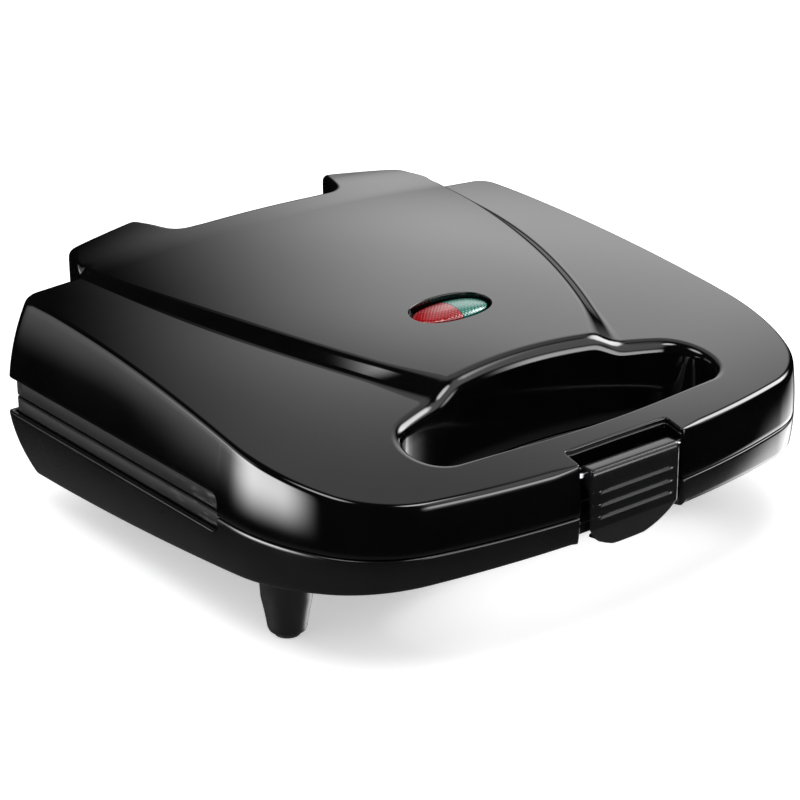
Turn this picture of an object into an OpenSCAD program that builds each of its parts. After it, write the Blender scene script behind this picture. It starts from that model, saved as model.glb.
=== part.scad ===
// Sandwich toaster for two slices: a hinged lid and a base with a carrying loop at the front,
// a swinging latch, ribbed triangular plates, tubular heaters and two pilot lamps.
// X runs to the right, Y to the back and Z up. The origin is under the middle, on the table.

/* [Body] */
// Width across the side walls
body_w = 241; // [228:1:264]
// Length from the front of the loop to the rear wall
body_len = 220.5; // [212:0.5:236]
// Height of the line where lid and base meet, above the table
part_z = 46.5; // [44:0.5:58]
// Wall thickness of the two housings
wall = 2.5; // [2:0.1:3]
// Gap between the closed lid and the base
part_gap = 0.6; // [0.4:0.1:1]

/* [Plan outline] */
// Radius of the front edge
front_r = 345; // [300:5:420]
// Radius of the front corners
corner_r = 43; // [36:1:50]
// Radius where a front corner runs into the side
side_r = 88; // [70:1:100]
// Turn of the front corner before it opens into the side, in degrees
corner_turn = 62; // [55:1:68]
// Radius of the lid's rear corners at the parting line
lid_corner_r = 5; // [4:0.5:14]
// How much that radius grows per millimetre of height
lid_corner_open = 0.33; // [0:0.01:0.4]
// Radius of the base's rear corners
base_corner_r = 2.5; // [2:0.5:14]

/* [Lid] */
// Height of the lid's shoulder above the parting line, at the rear
shoulder_h = 44.8; // [40:0.2:54]
// Fall of the lid from the rear wall to the front of the loop
lid_fall = 26.3; // [22:0.1:27]
// Radius of the shoulder's crown from side to side
shoulder_crown_r = 1400; // [1200:50:2400]
// How far the middle panel stands above the shoulder
panel_rise = 3.6; // [2.5:0.1:5]
// Radius of the middle panel's crown
panel_crown_r = 900; // [800:50:1500]
// Half width of the middle panel where it meets the loop
panel_front_half = 40; // [34:1:46]
// Half width of the middle panel at the rear
panel_rear_half = 87; // [84:0.5:90]
// Radius of the middle panel's side edges, in plan
panel_side_r = 365; // [300:5:450]

/* [Base] */
// Depth of the base below the parting line, at the rear
base_h = 33; // [31:0.2:38]
// Rise of the underside from the rear to the front of the loop
base_rise = 22.8; // [20:0.2:24]

/* [Loop] */
// Width of the loop's bar, front to back
bar_w = 18.5; // [16:0.5:20]
// Length of the hand gap, front to back, on the centre line
gap_len = 40.5; // [38:0.5:42]
// Radius of the hand gap's rear edge
gap_rear_r = 198; // [180:2:220]
// Radius of the hand gap's ends
gap_end_r = 13.4; // [12.8:0.1:14]

/* [Side strips] */
// How far the frames' strips lie inside the housings' walls
strip_inset = 3; // [2.8:0.1:3.6]
// Height of the lid frame's strip that shows
lid_strip_h = 8; // [6:0.5:10]
// Height of the base frame's strip that shows
base_strip_h = 6.5; // [5:0.5:8]
// Distance of the strips' front ends from the front of the loop
strip_start = 79; // [74:1:84]

/* [Hinge] */
// How far the hinge hoods reach behind the rear wall
hood_len = 22; // [21:0.5:28]
// Half width of the notch between the hoods
hood_gap_half = 34; // [30:1:36]
// Hinge axis above the parting line
hinge_up = 10; // [9:0.5:12]
// Radius of the hinge pins
hinge_pin_r = 2; // [1.5:0.1:2.5]
// Radius of the base's knuckles
knuckle_r = 6.5; // [6:0.1:7]
// Width of a knuckle
knuckle_w = 14; // [12:0.5:15]
// Running clearance of a pin in its bore, on the radius
pin_clear = 0.05; // [0.03:0.01:0.1]

/* [Latch] */
// Width of the latch
latch_w = 41.4; // [36:0.2:46]
// Width of the notch it hangs in
notch_w = 48; // [46:0.5:54]
// Depth of the notch, front to back
notch_depth = 10.5; // [10:0.5:11]
// Height of the latch's pin above the parting line
latch_up = 13.5; // [12.5:0.1:14]
// Distance of the latch's pin from the front of the loop
latch_back = 3.8; // [3.6:0.1:4.4]
// Radius of the latch's pin
latch_pin_r = 1.25; // [1:0.05:1.5]
// Radius of the latch's barrel
latch_barrel_r = 3; // [2.6:0.1:3.4]
// How far the latch's tongue hangs below the parting line
latch_drop = 17; // [16:0.5:19]

/* [Plates] */
// Width of a cooking plate
plate_w = 212; // [200:1:214]
// Depth of a cooking plate, front to back
plate_d = 124; // [116:1:126]
// Depth of a sandwich pocket
pocket_depth = 9; // [7:0.5:10]
// Thickness of the casting
plate_t = 3; // [2.5:0.1:3.5]
// Clearance between the plate and its frame
plate_clear = 0.5; // [0.3:0.1:0.8]
// Radius of the heater tube
heater_r = 3.25; // [2.8:0.05:3.5]

/* [Feet] */
// Distance of the front feet from the centre line
front_foot_x = 100; // [96:0.5:104]
// Distance of the front feet from the front of the loop
front_foot_y = 68; // [66:0.5:76]
// Distance of the rear feet from the centre line
rear_foot_x = 84; // [76:1:90]
// Distance of the rear feet from the rear wall
rear_foot_y = 26; // [22:1:36]
// Radius at the top of a foot
foot_top_r = 9.4; // [9:0.1:10]
// Radius near the tip of a foot
foot_tip_r = 7.2; // [6.8:0.1:7.6]

/* [Lamp] */
// Distance of the lamp window from the front of the loop
lamp_y = 100; // [92:1:112]
// Length of the lamp window, side to side
lamp_w = 36; // [32:0.5:40]
// Width of the lamp window, front to back
lamp_d = 18; // [15:0.5:20]
// Depth of the lamp window
lamp_depth = 4; // [3:0.5:7]

/* [Hidden] */

fit = 0.3;                                   // general clearance between parts that are laid together
latch_proud = 0.5;                           // the latch stands this far in front of the loop
depth = body_len + hood_len + latch_proud;   // overall, latch face to hoods
front_y = -depth / 2 + latch_proud;
rear_y = front_y + body_len;
half_w = body_w / 2;
front_cy = front_y + front_r;                // centre of the front edge's arc
gap_cy = front_y + bar_w + gap_len - gap_rear_r;
hinge_z = part_z + hinge_up;
latch_y = front_y + latch_back;
latch_z = part_z + latch_up;
frame_low = part_gap;                        // the frames stand this far off the parting line
plate_y = rear_y - 12.5 - plate_d / 2;       // middle of the plates
plate_r = 12;                                // plate's corner radius
frame_face_t = 2.6;
lid_curve = 0.0036;                          // inset of the lid's wall is this times its height squared
base_curve = 0.0067;
slab = 300;                                  // longer than the body, for cutting

// ---- points and curves ----

// A run of n + 1 points on an arc; angle 0 points to the front and 90 to the right
function arc(cx, cy, r, a0, a1, n) =
    [for (i = [0:n]) let (a = a0 + (a1 - a0) * i / n) [cx + r * sin(a), cy - r * cos(a)]];

// The half outline and its mirror image; a point on the centre line isn't repeated
function mirrored(half) =
    concat(half, [for (i = [len(half) - 1:-1:0]) if (half[i][0] > 0.001) [-half[i][0], half[i][1]]]);

// Angle at which the front edge's arc hands over to the corner
front_turn = asin((half_w - side_r + (side_r - corner_r) * sin(corner_turn)) / (front_r - corner_r));
corner_cx = (front_r - corner_r) * sin(front_turn);
corner_cy = front_cy - (front_r - corner_r) * cos(front_turn);
side_cx = corner_cx - (side_r - corner_r) * sin(corner_turn);
side_cy = corner_cy + (side_r - corner_r) * cos(corner_turn);

// Plan of the body, drawn in by d all round; corner is the rear corners' radius where d is 0
function outline(d = 0, corner = lid_corner_r) = let (r = max(corner, d + 0.3)) mirrored(concat(
    arc(0, front_cy, front_r - d, 0, front_turn, 4),
    arc(corner_cx, corner_cy, corner_r - d, front_turn + 8, corner_turn - 4, 4),
    arc(side_cx, side_cy, side_r - d, corner_turn, 90, 4),
    arc(half_w - r, rear_y - r, r - d, 90, 180, 3)));

// Centre of the hand gap's end arc, which touches the front and the rear edge's arcs
gap_front_r = front_r - bar_w;
gap_a = gap_front_r - gap_end_r;
gap_b = gap_rear_r - gap_end_r;
gap_end_y = (front_cy * front_cy - gap_cy * gap_cy - gap_a * gap_a + gap_b * gap_b) / (2 * (front_cy - gap_cy));
gap_end_x = sqrt(gap_b * gap_b - pow(gap_end_y - gap_cy, 2));
gap_front_turn = atan(gap_end_x / (front_cy - gap_end_y));
gap_rear_turn = atan(gap_end_x / (gap_end_y - gap_cy));

// Plan of the hand gap, grown by d
function hand_gap(d = 0) = mirrored(concat(
    arc(0, front_cy, gap_front_r + d, 0, gap_front_turn, 3),
    arc(gap_end_x, gap_end_y, gap_end_r + d, gap_front_turn + 14, 180 - gap_rear_turn - 14, 8),
    arc(0, gap_cy, gap_rear_r + d, 180 - gap_rear_turn, 180, 3)));

hood_end_r = 30;         // outer corner of a hood, in plan
hood_in_r = 7;           // its inner corner
hood_sway = 11.5;        // the notch is this much wider at the hoods' ends
hood_cx = panel_rear_half - hood_end_r;
hood_cy = rear_y + hood_len - hood_end_r;

// Side edge of the middle panel: an arc from the loop to where the hood's corner begins
panel_y0 = front_y + bar_w + gap_len;
panel_y1 = min(rear_y, hood_cy);
panel_chord = sqrt(pow(panel_rear_half - panel_front_half, 2) + pow(panel_y1 - panel_y0, 2));
panel_lean = atan((panel_rear_half - panel_front_half) / (panel_y1 - panel_y0));
panel_open = asin(panel_chord / 2 / panel_side_r);
panel_cx = panel_rear_half - panel_side_r * cos(panel_lean - panel_open);
panel_cy = panel_y1 + panel_side_r * sin(panel_lean - panel_open);

// Plan of the middle panel with its hoods, drawn in by d
function panel(d = 0) = mirrored(concat(
    [[0, panel_y0 - 6], [panel_front_half - d, panel_y0 - 6]],
    arc(panel_cx, panel_cy, panel_side_r - d, 90 - panel_lean - panel_open, 90 - panel_lean + panel_open, 8),
    arc(hood_cx, hood_cy, hood_end_r - d, 92, 180, 5),
    arc(hood_gap_half + hood_sway + hood_in_r, rear_y + hood_len - hood_in_r, hood_in_r - d, 180, 262, 3),
    [[hood_gap_half + 7 + d, rear_y + 6.5], [hood_gap_half + d, rear_y - d], [0, rear_y - d]]));

// Height of the lid above the parting line at y, on the centre line, for a rear height h
function lid_top(y, h) = h - lid_fall * pow((rear_y - y) / body_len, 2);
// Depth of the base below it
function base_bottom(y) = base_h - base_rise * pow(max(0, (rear_y - 4 - y) / (body_len - 4)), 1.6);

module loft(rings, heights) {
    n = len(rings[0]);
    m = len(rings);
    polyhedron(
        points = [for (k = [0:m - 1]) for (p = rings[k]) [p[0], p[1], heights[k]]],
        faces = concat(
            [[for (i = [0:n - 1]) i]],
            [for (k = [0:m - 2]) for (i = [0:n - 1])
                [k * n + i, (k + 1) * n + i, (k + 1) * n + (i + 1) % n, k * n + (i + 1) % n]],
            [[for (i = [n - 1:-1:0]) (m - 1) * n + i]]));
}

module plan(points, low, high) {
    translate([0, 0, low]) linear_extrude(high - low) polygon(points);
}

// Everything under a surface that is arched front to back and crowned side to side
module under_crown(h, crown_r, drop = 0) {
    steps = 10;
    ys = [for (i = [0:steps]) front_y - 5 + (body_len + hood_len + 10) * i / steps];
    translate([0, 0, part_z - crown_r]) rotate([-90, -90, 0]) rotate([0, 0, -9])
        rotate_extrude(angle = 18, $fn = 720)
            polygon(concat([[crown_r - 60, front_y - 5]],
                [for (y = ys) [crown_r + lid_top(y, h) - drop, y]],
                [[crown_r - 60, rear_y + hood_len + 5]]));
}

// Everything above the arched underside of the base, raised by up
module over_arch(up = 0) {
    steps = 10;
    ys = [for (i = [0:steps]) front_y - 5 + (body_len + 10) * i / steps];
    translate([-slab / 2, 0, part_z]) rotate([90, 0, 90]) linear_extrude(slab)
        polygon(concat([for (y = ys) [y, up - base_bottom(y)]],
            [[rear_y + 5, 30], [front_y - 5, 30]]));
}

module box(low, high) {
    translate(low) cube(high - low);
}

// A rod along X, Y or Z
module rod_x(x0, x1, y, z, r) {
    translate([x0, y, z]) rotate([0, 90, 0]) cylinder(h = x1 - x0, r = r, $fn = 48);
}
module rod_y(x, y0, y1, z, r) {
    translate([x, y0, z]) rotate([-90, 0, 0]) cylinder(h = y1 - y0, r = r, $fn = 48);
}
module rod(x, y, z0, z1, r) {
    translate([x, y, z0]) cylinder(h = z1 - z0, r = r, $fn = 48);
}

module both_sides() {
    children();
    mirror([1, 0, 0]) children();
}

// The upper half's inner parts are the lower half's, turned over about the parting plane
module turned_over() {
    translate([0, 0, part_z]) mirror([0, 0, 1]) translate([0, 0, -part_z]) children();
}

module rounded_plan(w, d, r, low, high) {
    plan(concat(
        arc(w / 2 - r, plate_y - d / 2 + r, r, 0, 90, 5),
        arc(w / 2 - r, plate_y + d / 2 - r, r, 90, 180, 5),
        arc(-w / 2 + r, plate_y + d / 2 - r, r, 180, 270, 5),
        arc(-w / 2 + r, plate_y - d / 2 + r, r, 270, 360, 5)), low, high);
}

// ---- lid ----

lid_heights = [part_gap / 2, 8, 16, 24, 32, 40, 47];
lamp_cy = front_y + lamp_y;
lamp_z = part_z + lid_top(lamp_cy, shoulder_h + panel_rise) - lamp_depth;   // floor of the lamp window

module lid_form(d = 0) {
    intersection() {
        loft([for (h = lid_heights) let (lean = lid_curve * h * h)
            outline(d + lean, lid_corner_r + lid_corner_open * h + lean)],
            [for (h = lid_heights) part_z + h - (d > 0 && h < 1 ? 1 : 0)]);
        under_crown(shoulder_h, shoulder_crown_r, d);
    }
    intersection() {
        plan(panel(d), part_z + lid_strip_h + (d > 0 ? -10 : 14), part_z + 60);
        under_crown(shoulder_h + panel_rise, panel_crown_r, d);
    }
}

// Both hoods; with d, the hollow inside them
module hoods(d = 0) {
    both_sides() intersection() {
        plan(panel(d), hinge_z - (d > 0 ? 1 : 0), part_z + 60);
        box([hood_gap_half + 1, d > 0 ? rear_y : rear_y - wall, 0], [slab / 2, slab, 200]);
        under_crown(shoulder_h + panel_rise, panel_crown_r, d);
    }
}

// Oval opening of the lamp window, grown by d
module lamp_oval(d, low, high) {
    translate([0, lamp_cy, low]) linear_extrude(high - low) union() {
        for (s = [-1, 1]) translate([s * (lamp_w - lamp_d) / 2, 0]) circle(r = lamp_d / 2 + d, $fn = 48);
        square([lamp_w - lamp_d, lamp_d + 2 * d], center = true);
    }
}

frame_screws = [[84, front_y + 71], [102, rear_y - 7.6]];

module lid_housing() {
    color("black") difference() {
        union() {
            difference() {
                union() {
                    lid_form();
                    hoods();
                }
                difference() {
                    intersection() {
                        lid_form(wall);
                        box([-slab / 2, -slab / 2, 0], [slab / 2, rear_y - wall, 200]);
                    }
                    plan(hand_gap(wall), 0, 200);
                    box([-notch_w / 2 - wall, front_y - 5, 0],
                        [notch_w / 2 + wall, front_y + notch_depth + wall, 200]);
                    lamp_oval(wall, lamp_z - wall, 200);
                    both_sides() for (p = frame_screws)
                        rod(p[0], p[1], part_z + frame_low + frame_face_t, 200, 4);
                }
                hoods(wall);
            }
            // webs that carry the hinge pins
            both_sides() for (x = [hinge_web_in, hinge_web_out]) {
                rod_x(x, x + wall, hinge_y, hinge_z, knuckle_r - 1.5);
                intersection() {
                    box([x, rear_y - 0.5, hinge_z], [x + wall, rear_y + hood_len, part_z + 60]);
                    under_crown(shoulder_h + panel_rise, panel_crown_r, 1);
                    plan(panel(1), hinge_z, part_z + 60);
                }
            }
        }
        plan(hand_gap(), 0, 200);
        lamp_oval(0, lamp_z, 200);
        lamp_oval(-lamp_lip, lamp_z - wall - 1, 200);
        box([-notch_w / 2, front_y - 5, 0], [notch_w / 2, front_y + notch_depth, 200]);
        // the walls stop above the frame's strip
        box([-slab / 2, front_y + strip_start, 0], [slab / 2, rear_y + 1, part_z + lid_strip_h]);
        rod_x(-notch_w / 2 - wall - 1, notch_w / 2 + wall + 1, latch_y, latch_z, latch_pin_r + pin_clear);
        both_sides() rod_x(hinge_web_in - 1, pin_x1 + 0.2, hinge_y, hinge_z, hinge_pin_r + pin_clear);
        both_sides() for (p = frame_screws) rod(p[0], p[1], 0, part_z + 18, 1.3);
    }
}

// Webs on each side of a knuckle
hinge_web_in = hood_gap_half + 16;
knuckle_x0 = hinge_web_in + wall + fit;
knuckle_x1 = knuckle_x0 + knuckle_w;
hinge_web_out = knuckle_x1 + fit;
// A knuckle clears the inside of its hood's outer corner by knuckle_gap
knuckle_gap = 0.7;
hinge_y = hood_cy + sqrt(pow(hood_end_r - wall, 2) - pow(knuckle_x1 - hood_cx, 2)) - knuckle_gap - knuckle_r;
// The pin's outer end stops at the hood's wall
pin_x1 = hood_cx - fit + sqrt(pow(hood_end_r - wall, 2) - pow(hinge_y + hinge_pin_r - hood_cy, 2));
hinge_stop = 2.2;        // the open lid's hoods come to rest on the knuckles' arms, this far from the axis

// ---- base ----

base_depths = [part_gap / 2, 7, 14, 20, 26, 31, 36];

module base_form(d = 0) {
    intersection() {
        turned_over() loft([for (h = base_depths) let (lean = base_curve * h * h)
            outline(d + lean, base_corner_r + lean)],
            [for (h = base_depths) part_z + h - (d > 0 && h < 1 ? 1 : 0)]);
        over_arch(d);
    }
}

feet = [[front_foot_x, front_y + front_foot_y], [rear_foot_x, rear_y - rear_foot_y]];
// Flat seat of foot k under the housing
function seat_z(k) = part_z - base_bottom(feet[k][1] + 9) - 0.6;
gland_z = part_z - 19;
gland_r = 6;
cord_r = 3.6;
catch_y = 4.5;           // front of the catch ledge, behind the front of the loop
catch_z = 9;             // underside of the ledge, below the parting line
block_w = 28;
block_d = 8;
block_h = 11;

module base_housing() {
    color("black") difference() {
        union() {
            difference() {
                base_form();
                difference() {
                    base_form(wall);
                    plan(hand_gap(wall), 0, 200);
                    box([-notch_w / 2 - wall, front_y - 5, 0],
                        [notch_w / 2 + wall, front_y + notch_depth + wall, 200]);
                    both_sides() for (p = frame_screws)
                        rod(p[0], p[1], 0, part_z - frame_low - frame_face_t, 4);
                }
            }
            // seats of the feet
            both_sides() for (k = [0, 1])
                rod(feet[k][0], feet[k][1], seat_z(k), part_z - base_bottom(feet[k][1] - 9) + wall, 10.4);
            // knuckles and their arms
            both_sides() {
                rod_x(knuckle_x0, knuckle_x1, hinge_y, hinge_z, knuckle_r);
                box([knuckle_x0, rear_y + 0.5, part_z - 24], [knuckle_x1, hinge_y - hinge_stop, hinge_z]);
                box([knuckle_x0, rear_y - wall - 0.5, part_z - 24],
                    [knuckle_x1, rear_y + 1, part_z - base_strip_h - 1]);
            }
            // seat of the cord gland
            rod_y(0, rear_y - 5.5, rear_y + 0.5, gland_z, gland_r + 2.5);
            box(block_low - [1, 1, 4], [block_low.x + block_w + 1, block_low.y + block_d + 1, block_low.z]);
        }
        plan(hand_gap(), 0, 200);
        // the notch leaves a ledge for the latch's hook
        box([-notch_w / 2, front_y - 5, 0], [notch_w / 2, front_y + catch_y, 200]);
        box([-notch_w / 2, front_y - 5, part_z - catch_z + 4], [notch_w / 2, front_y + notch_depth, 200]);
        box([-notch_w / 2, front_y - 5, 0], [notch_w / 2, front_y + notch_depth, part_z - catch_z]);
        box([-slab / 2, front_y + strip_start, part_z - base_strip_h], [slab / 2, rear_y + 0.5, 200]);
        both_sides() rod_x(knuckle_x0 - 1, knuckle_x1 + 1, hinge_y, hinge_z, hinge_pin_r + pin_clear);
        both_sides() for (p = feet) rod(p[0], p[1], 0, part_z - 8, 2);
        rod_y(0, rear_y - 12, rear_y + 2, gland_z, gland_r + 0.05);
        both_sides() for (p = frame_screws) rod(p[0], p[1], part_z - 18, 200, 1.3);
    }
}

// Foot k, a peg that narrows to its tip
module foot(k) {
    top = seat_z(k);
    color([0.06, 0.06, 0.06]) translate([feet[k][0], feet[k][1], 0]) difference() {
        rotate_extrude($fn = 64) polygon(concat(
            [[0, pad_t], [pad_r + 0.4, pad_t], [foot_tip_r - 1, 2.2], [foot_tip_r, 4.5]],
            [[foot_top_r - 0.9 * (k == 0 ? 1 : 0.4), top / 2 + 1], [foot_top_r, top], [0, top]]));
        translate([0, 0, -1]) cylinder(h = top + 2, r = foot_screw_r + 0.1, $fn = 32);
        cylinder(h = foot_head_z + foot_head_h, r = foot_head_r + 0.2, $fn = 32);
    }
}

pad_t = 1.2;
pad_r = 4.6;
foot_screw_r = 1.9;
foot_head_r = 3.4;
foot_head_h = 2.2;
foot_head_z = 2.4;

module front_left_foot() mirror([1, 0, 0]) foot(0);
module front_right_foot() foot(0);
module rear_left_foot() mirror([1, 0, 0]) foot(1);
module rear_right_foot() foot(1);

module foot_pads() {
    color([0.1, 0.1, 0.1]) both_sides() for (p = feet)
        rod(p[0], p[1], 0, pad_t, pad_r);
}

module foot_screws() {
    color("silver") both_sides() for (k = [0, 1]) {
        rod(feet[k][0], feet[k][1], foot_head_z, foot_head_z + foot_head_h, foot_head_r);
        rod(feet[k][0], feet[k][1], foot_head_z, seat_z(k) + 6, foot_screw_r);
    }
}

// ---- hinge ----

module hinge_pin() {
    color("silver") {
        rod_x(hinge_web_in - 0.4, pin_x1, hinge_y, hinge_z, hinge_pin_r);
        rod_x(hinge_web_in - 1.8, hinge_web_in - 0.3, hinge_y, hinge_z, hinge_pin_r + 1.4);
    }
}
module right_hinge_pin() hinge_pin();
module left_hinge_pin() mirror([1, 0, 0]) hinge_pin();

// ---- frames, plates and what is behind them ----

frame_skirt_t = 2;
skirt_step = 0.9;
skirt_tuck = 3.5;        // the skirt reaches this far behind the housing's wall
opening_w = plate_w + 2 * plate_clear;
opening_d = plate_d + 2 * plate_clear;
plate_face = part_z - part_gap * 0.7;
plate_floor = plate_face - pocket_depth;
plate_under = plate_floor - plate_t;
plate_rim_t = 6;
ledge_w = 2.5;           // the plate's flange sits on the frame's ledge

// Frame of the lower half; strip_h is the height of the strip that shows, and corner the radius of
// the skirt's rear corners
module frame(strip_h, corner) {
    top = part_z - frame_low;
    difference() {
        union() {
            plan(outline(strip_inset), top - frame_face_t, top);
            difference() {
                union() {
                    plan(outline(strip_inset), part_z - strip_h + fit, top);
                    plan(outline(strip_inset + skirt_step, corner), part_z - strip_h - skirt_tuck, top);
                }
                plan(outline(strip_inset + frame_skirt_t + skirt_step, corner), 0, top - frame_face_t);
                box([-slab / 2, -slab / 2, 0], [slab / 2, front_y + strip_start + fit, top - frame_face_t]);
            }
            // tray wall round the plate
            rounded_plan(opening_w + 4, opening_d + 4, plate_r + 2, top - plate_rim_t - 3, top);
        }
        rounded_plan(opening_w, opening_d, plate_r + plate_clear, top - plate_rim_t - 0.4, 200);
        rounded_plan(opening_w - 2 * ledge_w, opening_d - 2 * ledge_w, plate_r - 1, 0, 200);
        plan(hand_gap(wall + fit), 0, 200);
        box([-notch_w / 2 - wall - fit, front_y - 5, 0],
            [notch_w / 2 + wall + fit, front_y + notch_depth + wall + fit, 200]);
        both_sides() for (p = frame_screws) {
            rod(p[0], p[1], 0, 200, frame_screw_r + 0.2);
            rod(p[0], p[1], 0, top - frame_face_t, 4.4);
            rod(p[0], p[1], top - 1.2, 200, frame_head_r + 0.2);
        }
    }
}

frame_screw_r = 1.2;
frame_head_r = 2.6;

module frame_screw_set() {
    both_sides() for (p = frame_screws) {
        rod(p[0], p[1], part_z - frame_low - 1.2, part_z - frame_low, frame_head_r);
        rod(p[0], p[1], part_z - frame_low - 11, part_z - frame_low, frame_screw_r);
    }
}

module lower_frame() color([0.13, 0.13, 0.13]) frame(base_strip_h, lid_corner_r);
module upper_frame() color([0.13, 0.13, 0.13]) turned_over()
    frame(lid_strip_h, lid_corner_r + lid_corner_open * (lid_strip_h + skirt_tuck));
module lower_frame_screws() color("silver") frame_screw_set();
module upper_frame_screws() color("silver") turned_over() frame_screw_set();

ridge_w = 5;             // between two sandwiches, and round them
rim_w = 7;
cut_w = 3.5;             // the ridge that cuts a sandwich in two
pocket_w = plate_w / 2 - rim_w - ridge_w / 2;
pocket_d = plate_d - 2 * rim_w;

// Triangular pocket with rounded corners and sloping sides, in the right sandwich
module pocket(corner, draft = 3.2) {
    x0 = ridge_w / 2;
    x1 = x0 + pocket_w;
    y0 = plate_y - pocket_d / 2;
    y1 = plate_y + pocket_d / 2;
    k = cut_w / 2 * sqrt(pow(pocket_w, 2) + pow(pocket_d, 2));
    a = corner == 0 ? [[x0, y0], [x1 - k / pocket_d, y0], [x0, y1 - k / pocket_w]]
        : [[x1, y1], [x0 + k / pocket_d, y1], [x1, y0 + k / pocket_w]];
    loft([soft_triangle(a, draft, 5), soft_triangle(a, 0, 7)], [plate_floor, plate_face + 0.01]);
}

// Triangle with its corners rounded to radius r and its sides drawn in by d
function soft_triangle(a, d, r) = [for (i = [0:2])
    let (p = a[i], u = unit(a[(i + 1) % 3] - p), v = unit(a[(i + 2) % 3] - p),
        half = acos(u * v) / 2, m = unit(u + v), centre = p + m * (r + d) / sin(half),
        out = atan2(-m.y, -m.x), span = 90 - half)
    for (s = [-1, -0.33, 0.33, 1]) centre + r * [cos(out + s * span), sin(out + s * span)]];
function unit(v) = v / norm(v);

module plate() {
    difference() {
        union() {
            rounded_plan(plate_w, plate_d, plate_r, plate_face - 3, plate_face);
            rounded_plan(plate_w - 2 * (rim_w - plate_t), plate_d - 2 * (rim_w - plate_t), plate_r - 4,
                plate_under, plate_face - 1);
        }
        both_sides() {
            pocket(0);
            pocket(1);
        }
        rod(0, plate_y, 0, 200, plate_screw_r + 0.1);
        rod(0, plate_y, plate_face - plate_head_h - 0.3, 200, plate_head_r + 0.2);
        for (p = strap_holes) rod(p[0], p[1], plate_under - 1, plate_under + strap_grip, strap_screw_r + 0.05);
    }
}

plate_screw_r = 1.8;
plate_head_r = 3.4;
plate_head_h = 1.8;
strap_screw_r = 1.2;
strap_grip = 2.2;        // depth of a strap's screw in the casting

module lower_plate() color([0.16, 0.16, 0.17]) plate();
module upper_plate() color([0.16, 0.16, 0.17]) turned_over() plate();

// Heater: one loop, entering at the front on each side of the middle
heater_z = plate_under - heater_r - 0.2;
heater_in = 14;
heater_out = 84;
heater_y0 = plate_y - 32;
heater_y1 = plate_y + 31;
heater_end_y = plate_y - plate_d / 2 - 2;
bend_r = 11;

module quarter_bend(x, y, turn) {
    translate([x, y, heater_z]) rotate([0, 0, turn]) rotate_extrude(angle = 90, $fn = 64)
        translate([bend_r, 0]) circle(r = heater_r, $fn = 32);
}

module heater() {
    rod_x(-heater_out + bend_r, heater_out - bend_r, heater_y1, heater_z, heater_r);
    both_sides() {
        rod_y(heater_in, heater_end_y, heater_y0 - bend_r, heater_z, heater_r);
        quarter_bend(heater_in + bend_r, heater_y0 - bend_r, 90);
        rod_x(heater_in + bend_r, heater_out - bend_r, heater_y0, heater_z, heater_r);
        quarter_bend(heater_out - bend_r, heater_y0 + bend_r, -90);
        rod_y(heater_out, heater_y0 + bend_r, heater_y1 - bend_r, heater_z, heater_r);
        quarter_bend(heater_out - bend_r, heater_y1 - bend_r, 0);
    }
}
module lower_heater() color("dimgray") heater();
module upper_heater() color("dimgray") turned_over() heater();

tab_len = 6;
bead_len = 4;
module heater_terminals() {
    both_sides() {
        rod_y(heater_in, heater_end_y - bead_len, heater_end_y, heater_z, heater_r - 0.5);
        box([heater_in - 3.1, heater_end_y - bead_len - tab_len, heater_z - 0.4],
            [heater_in + 3.1, heater_end_y - bead_len + 0.5, heater_z + 0.4]);
    }
}
module lower_heater_terminals() color("ivory") heater_terminals();
module upper_heater_terminals() color("ivory") turned_over() heater_terminals();

// Straps that bridge the tube, at the middle of each straight run
strap_x = 50;
strap_w = 10;
strap_half = 10;         // from the tube's axis to a strap's screw
strap_t = 0.8;
strap_low = heater_z - heater_r - 0.3 - strap_t;
strap_holes = [for (x = [-strap_x, strap_x]) for (y = [heater_y0, heater_y1]) for (s = [-1, 1])
    [x, y + s * strap_half]];

module straps() {
    for (x = [-strap_x, strap_x]) for (y = [heater_y0, heater_y1]) difference() {
        box([x - strap_w / 2, y - strap_half - 3, strap_low],
            [x + strap_w / 2, y + strap_half + 3, plate_under]);
        box([x - strap_w, y - strap_half + 3, strap_low + strap_t],
            [x + strap_w, y + strap_half - 3, plate_under + 1]);
        for (s = [-1, 1]) rod(x, y + s * strap_half, 0, 100, strap_screw_r + 0.1);
    }
}
module strap_screw_set() {
    for (p = strap_holes) {
        rod(p[0], p[1], strap_low - 1, plate_under + strap_grip - 0.2, strap_screw_r);
        rod(p[0], p[1], strap_low - 1, strap_low, 2.2);
    }
}
module lower_heater_straps() color("silver") straps();
module upper_heater_straps() color("silver") turned_over() straps();
module lower_strap_screws() color("silver") strap_screw_set();
module upper_strap_screws() color("silver") turned_over() strap_screw_set();

// Bright sheet behind the heater, with a turned-up rim
sheet_t = 0.6;
sheet_w = 190;
sheet_d = 92;
sheet_top = strap_low - fit;
module reflector() {
    difference() {
        rounded_plan(sheet_w, sheet_d, 9, sheet_top - sheet_t, plate_under - 1.5);
        rounded_plan(sheet_w - 2 * sheet_t, sheet_d - 2 * sheet_t, 9 - sheet_t, sheet_top, plate_under);
        both_sides() box([heater_in - heater_r - 1, -slab / 2, sheet_top],
            [heater_in + heater_r + 1, plate_y, plate_under]);
        for (p = strap_holes) rod(p[0], p[1], 0, sheet_top + 1, 2.6);
        rod(0, plate_y, 0, 100, plate_screw_r + 0.1);
    }
    // spacer round the plate's screw
    difference() {
        rod(0, plate_y, sheet_top - sheet_t, plate_under, 4.5);
        rod(0, plate_y, 0, 100, plate_screw_r + 0.1);
    }
}
module lower_reflector() color("gainsboro") reflector();
module upper_reflector() color("gainsboro") turned_over() reflector();

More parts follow.
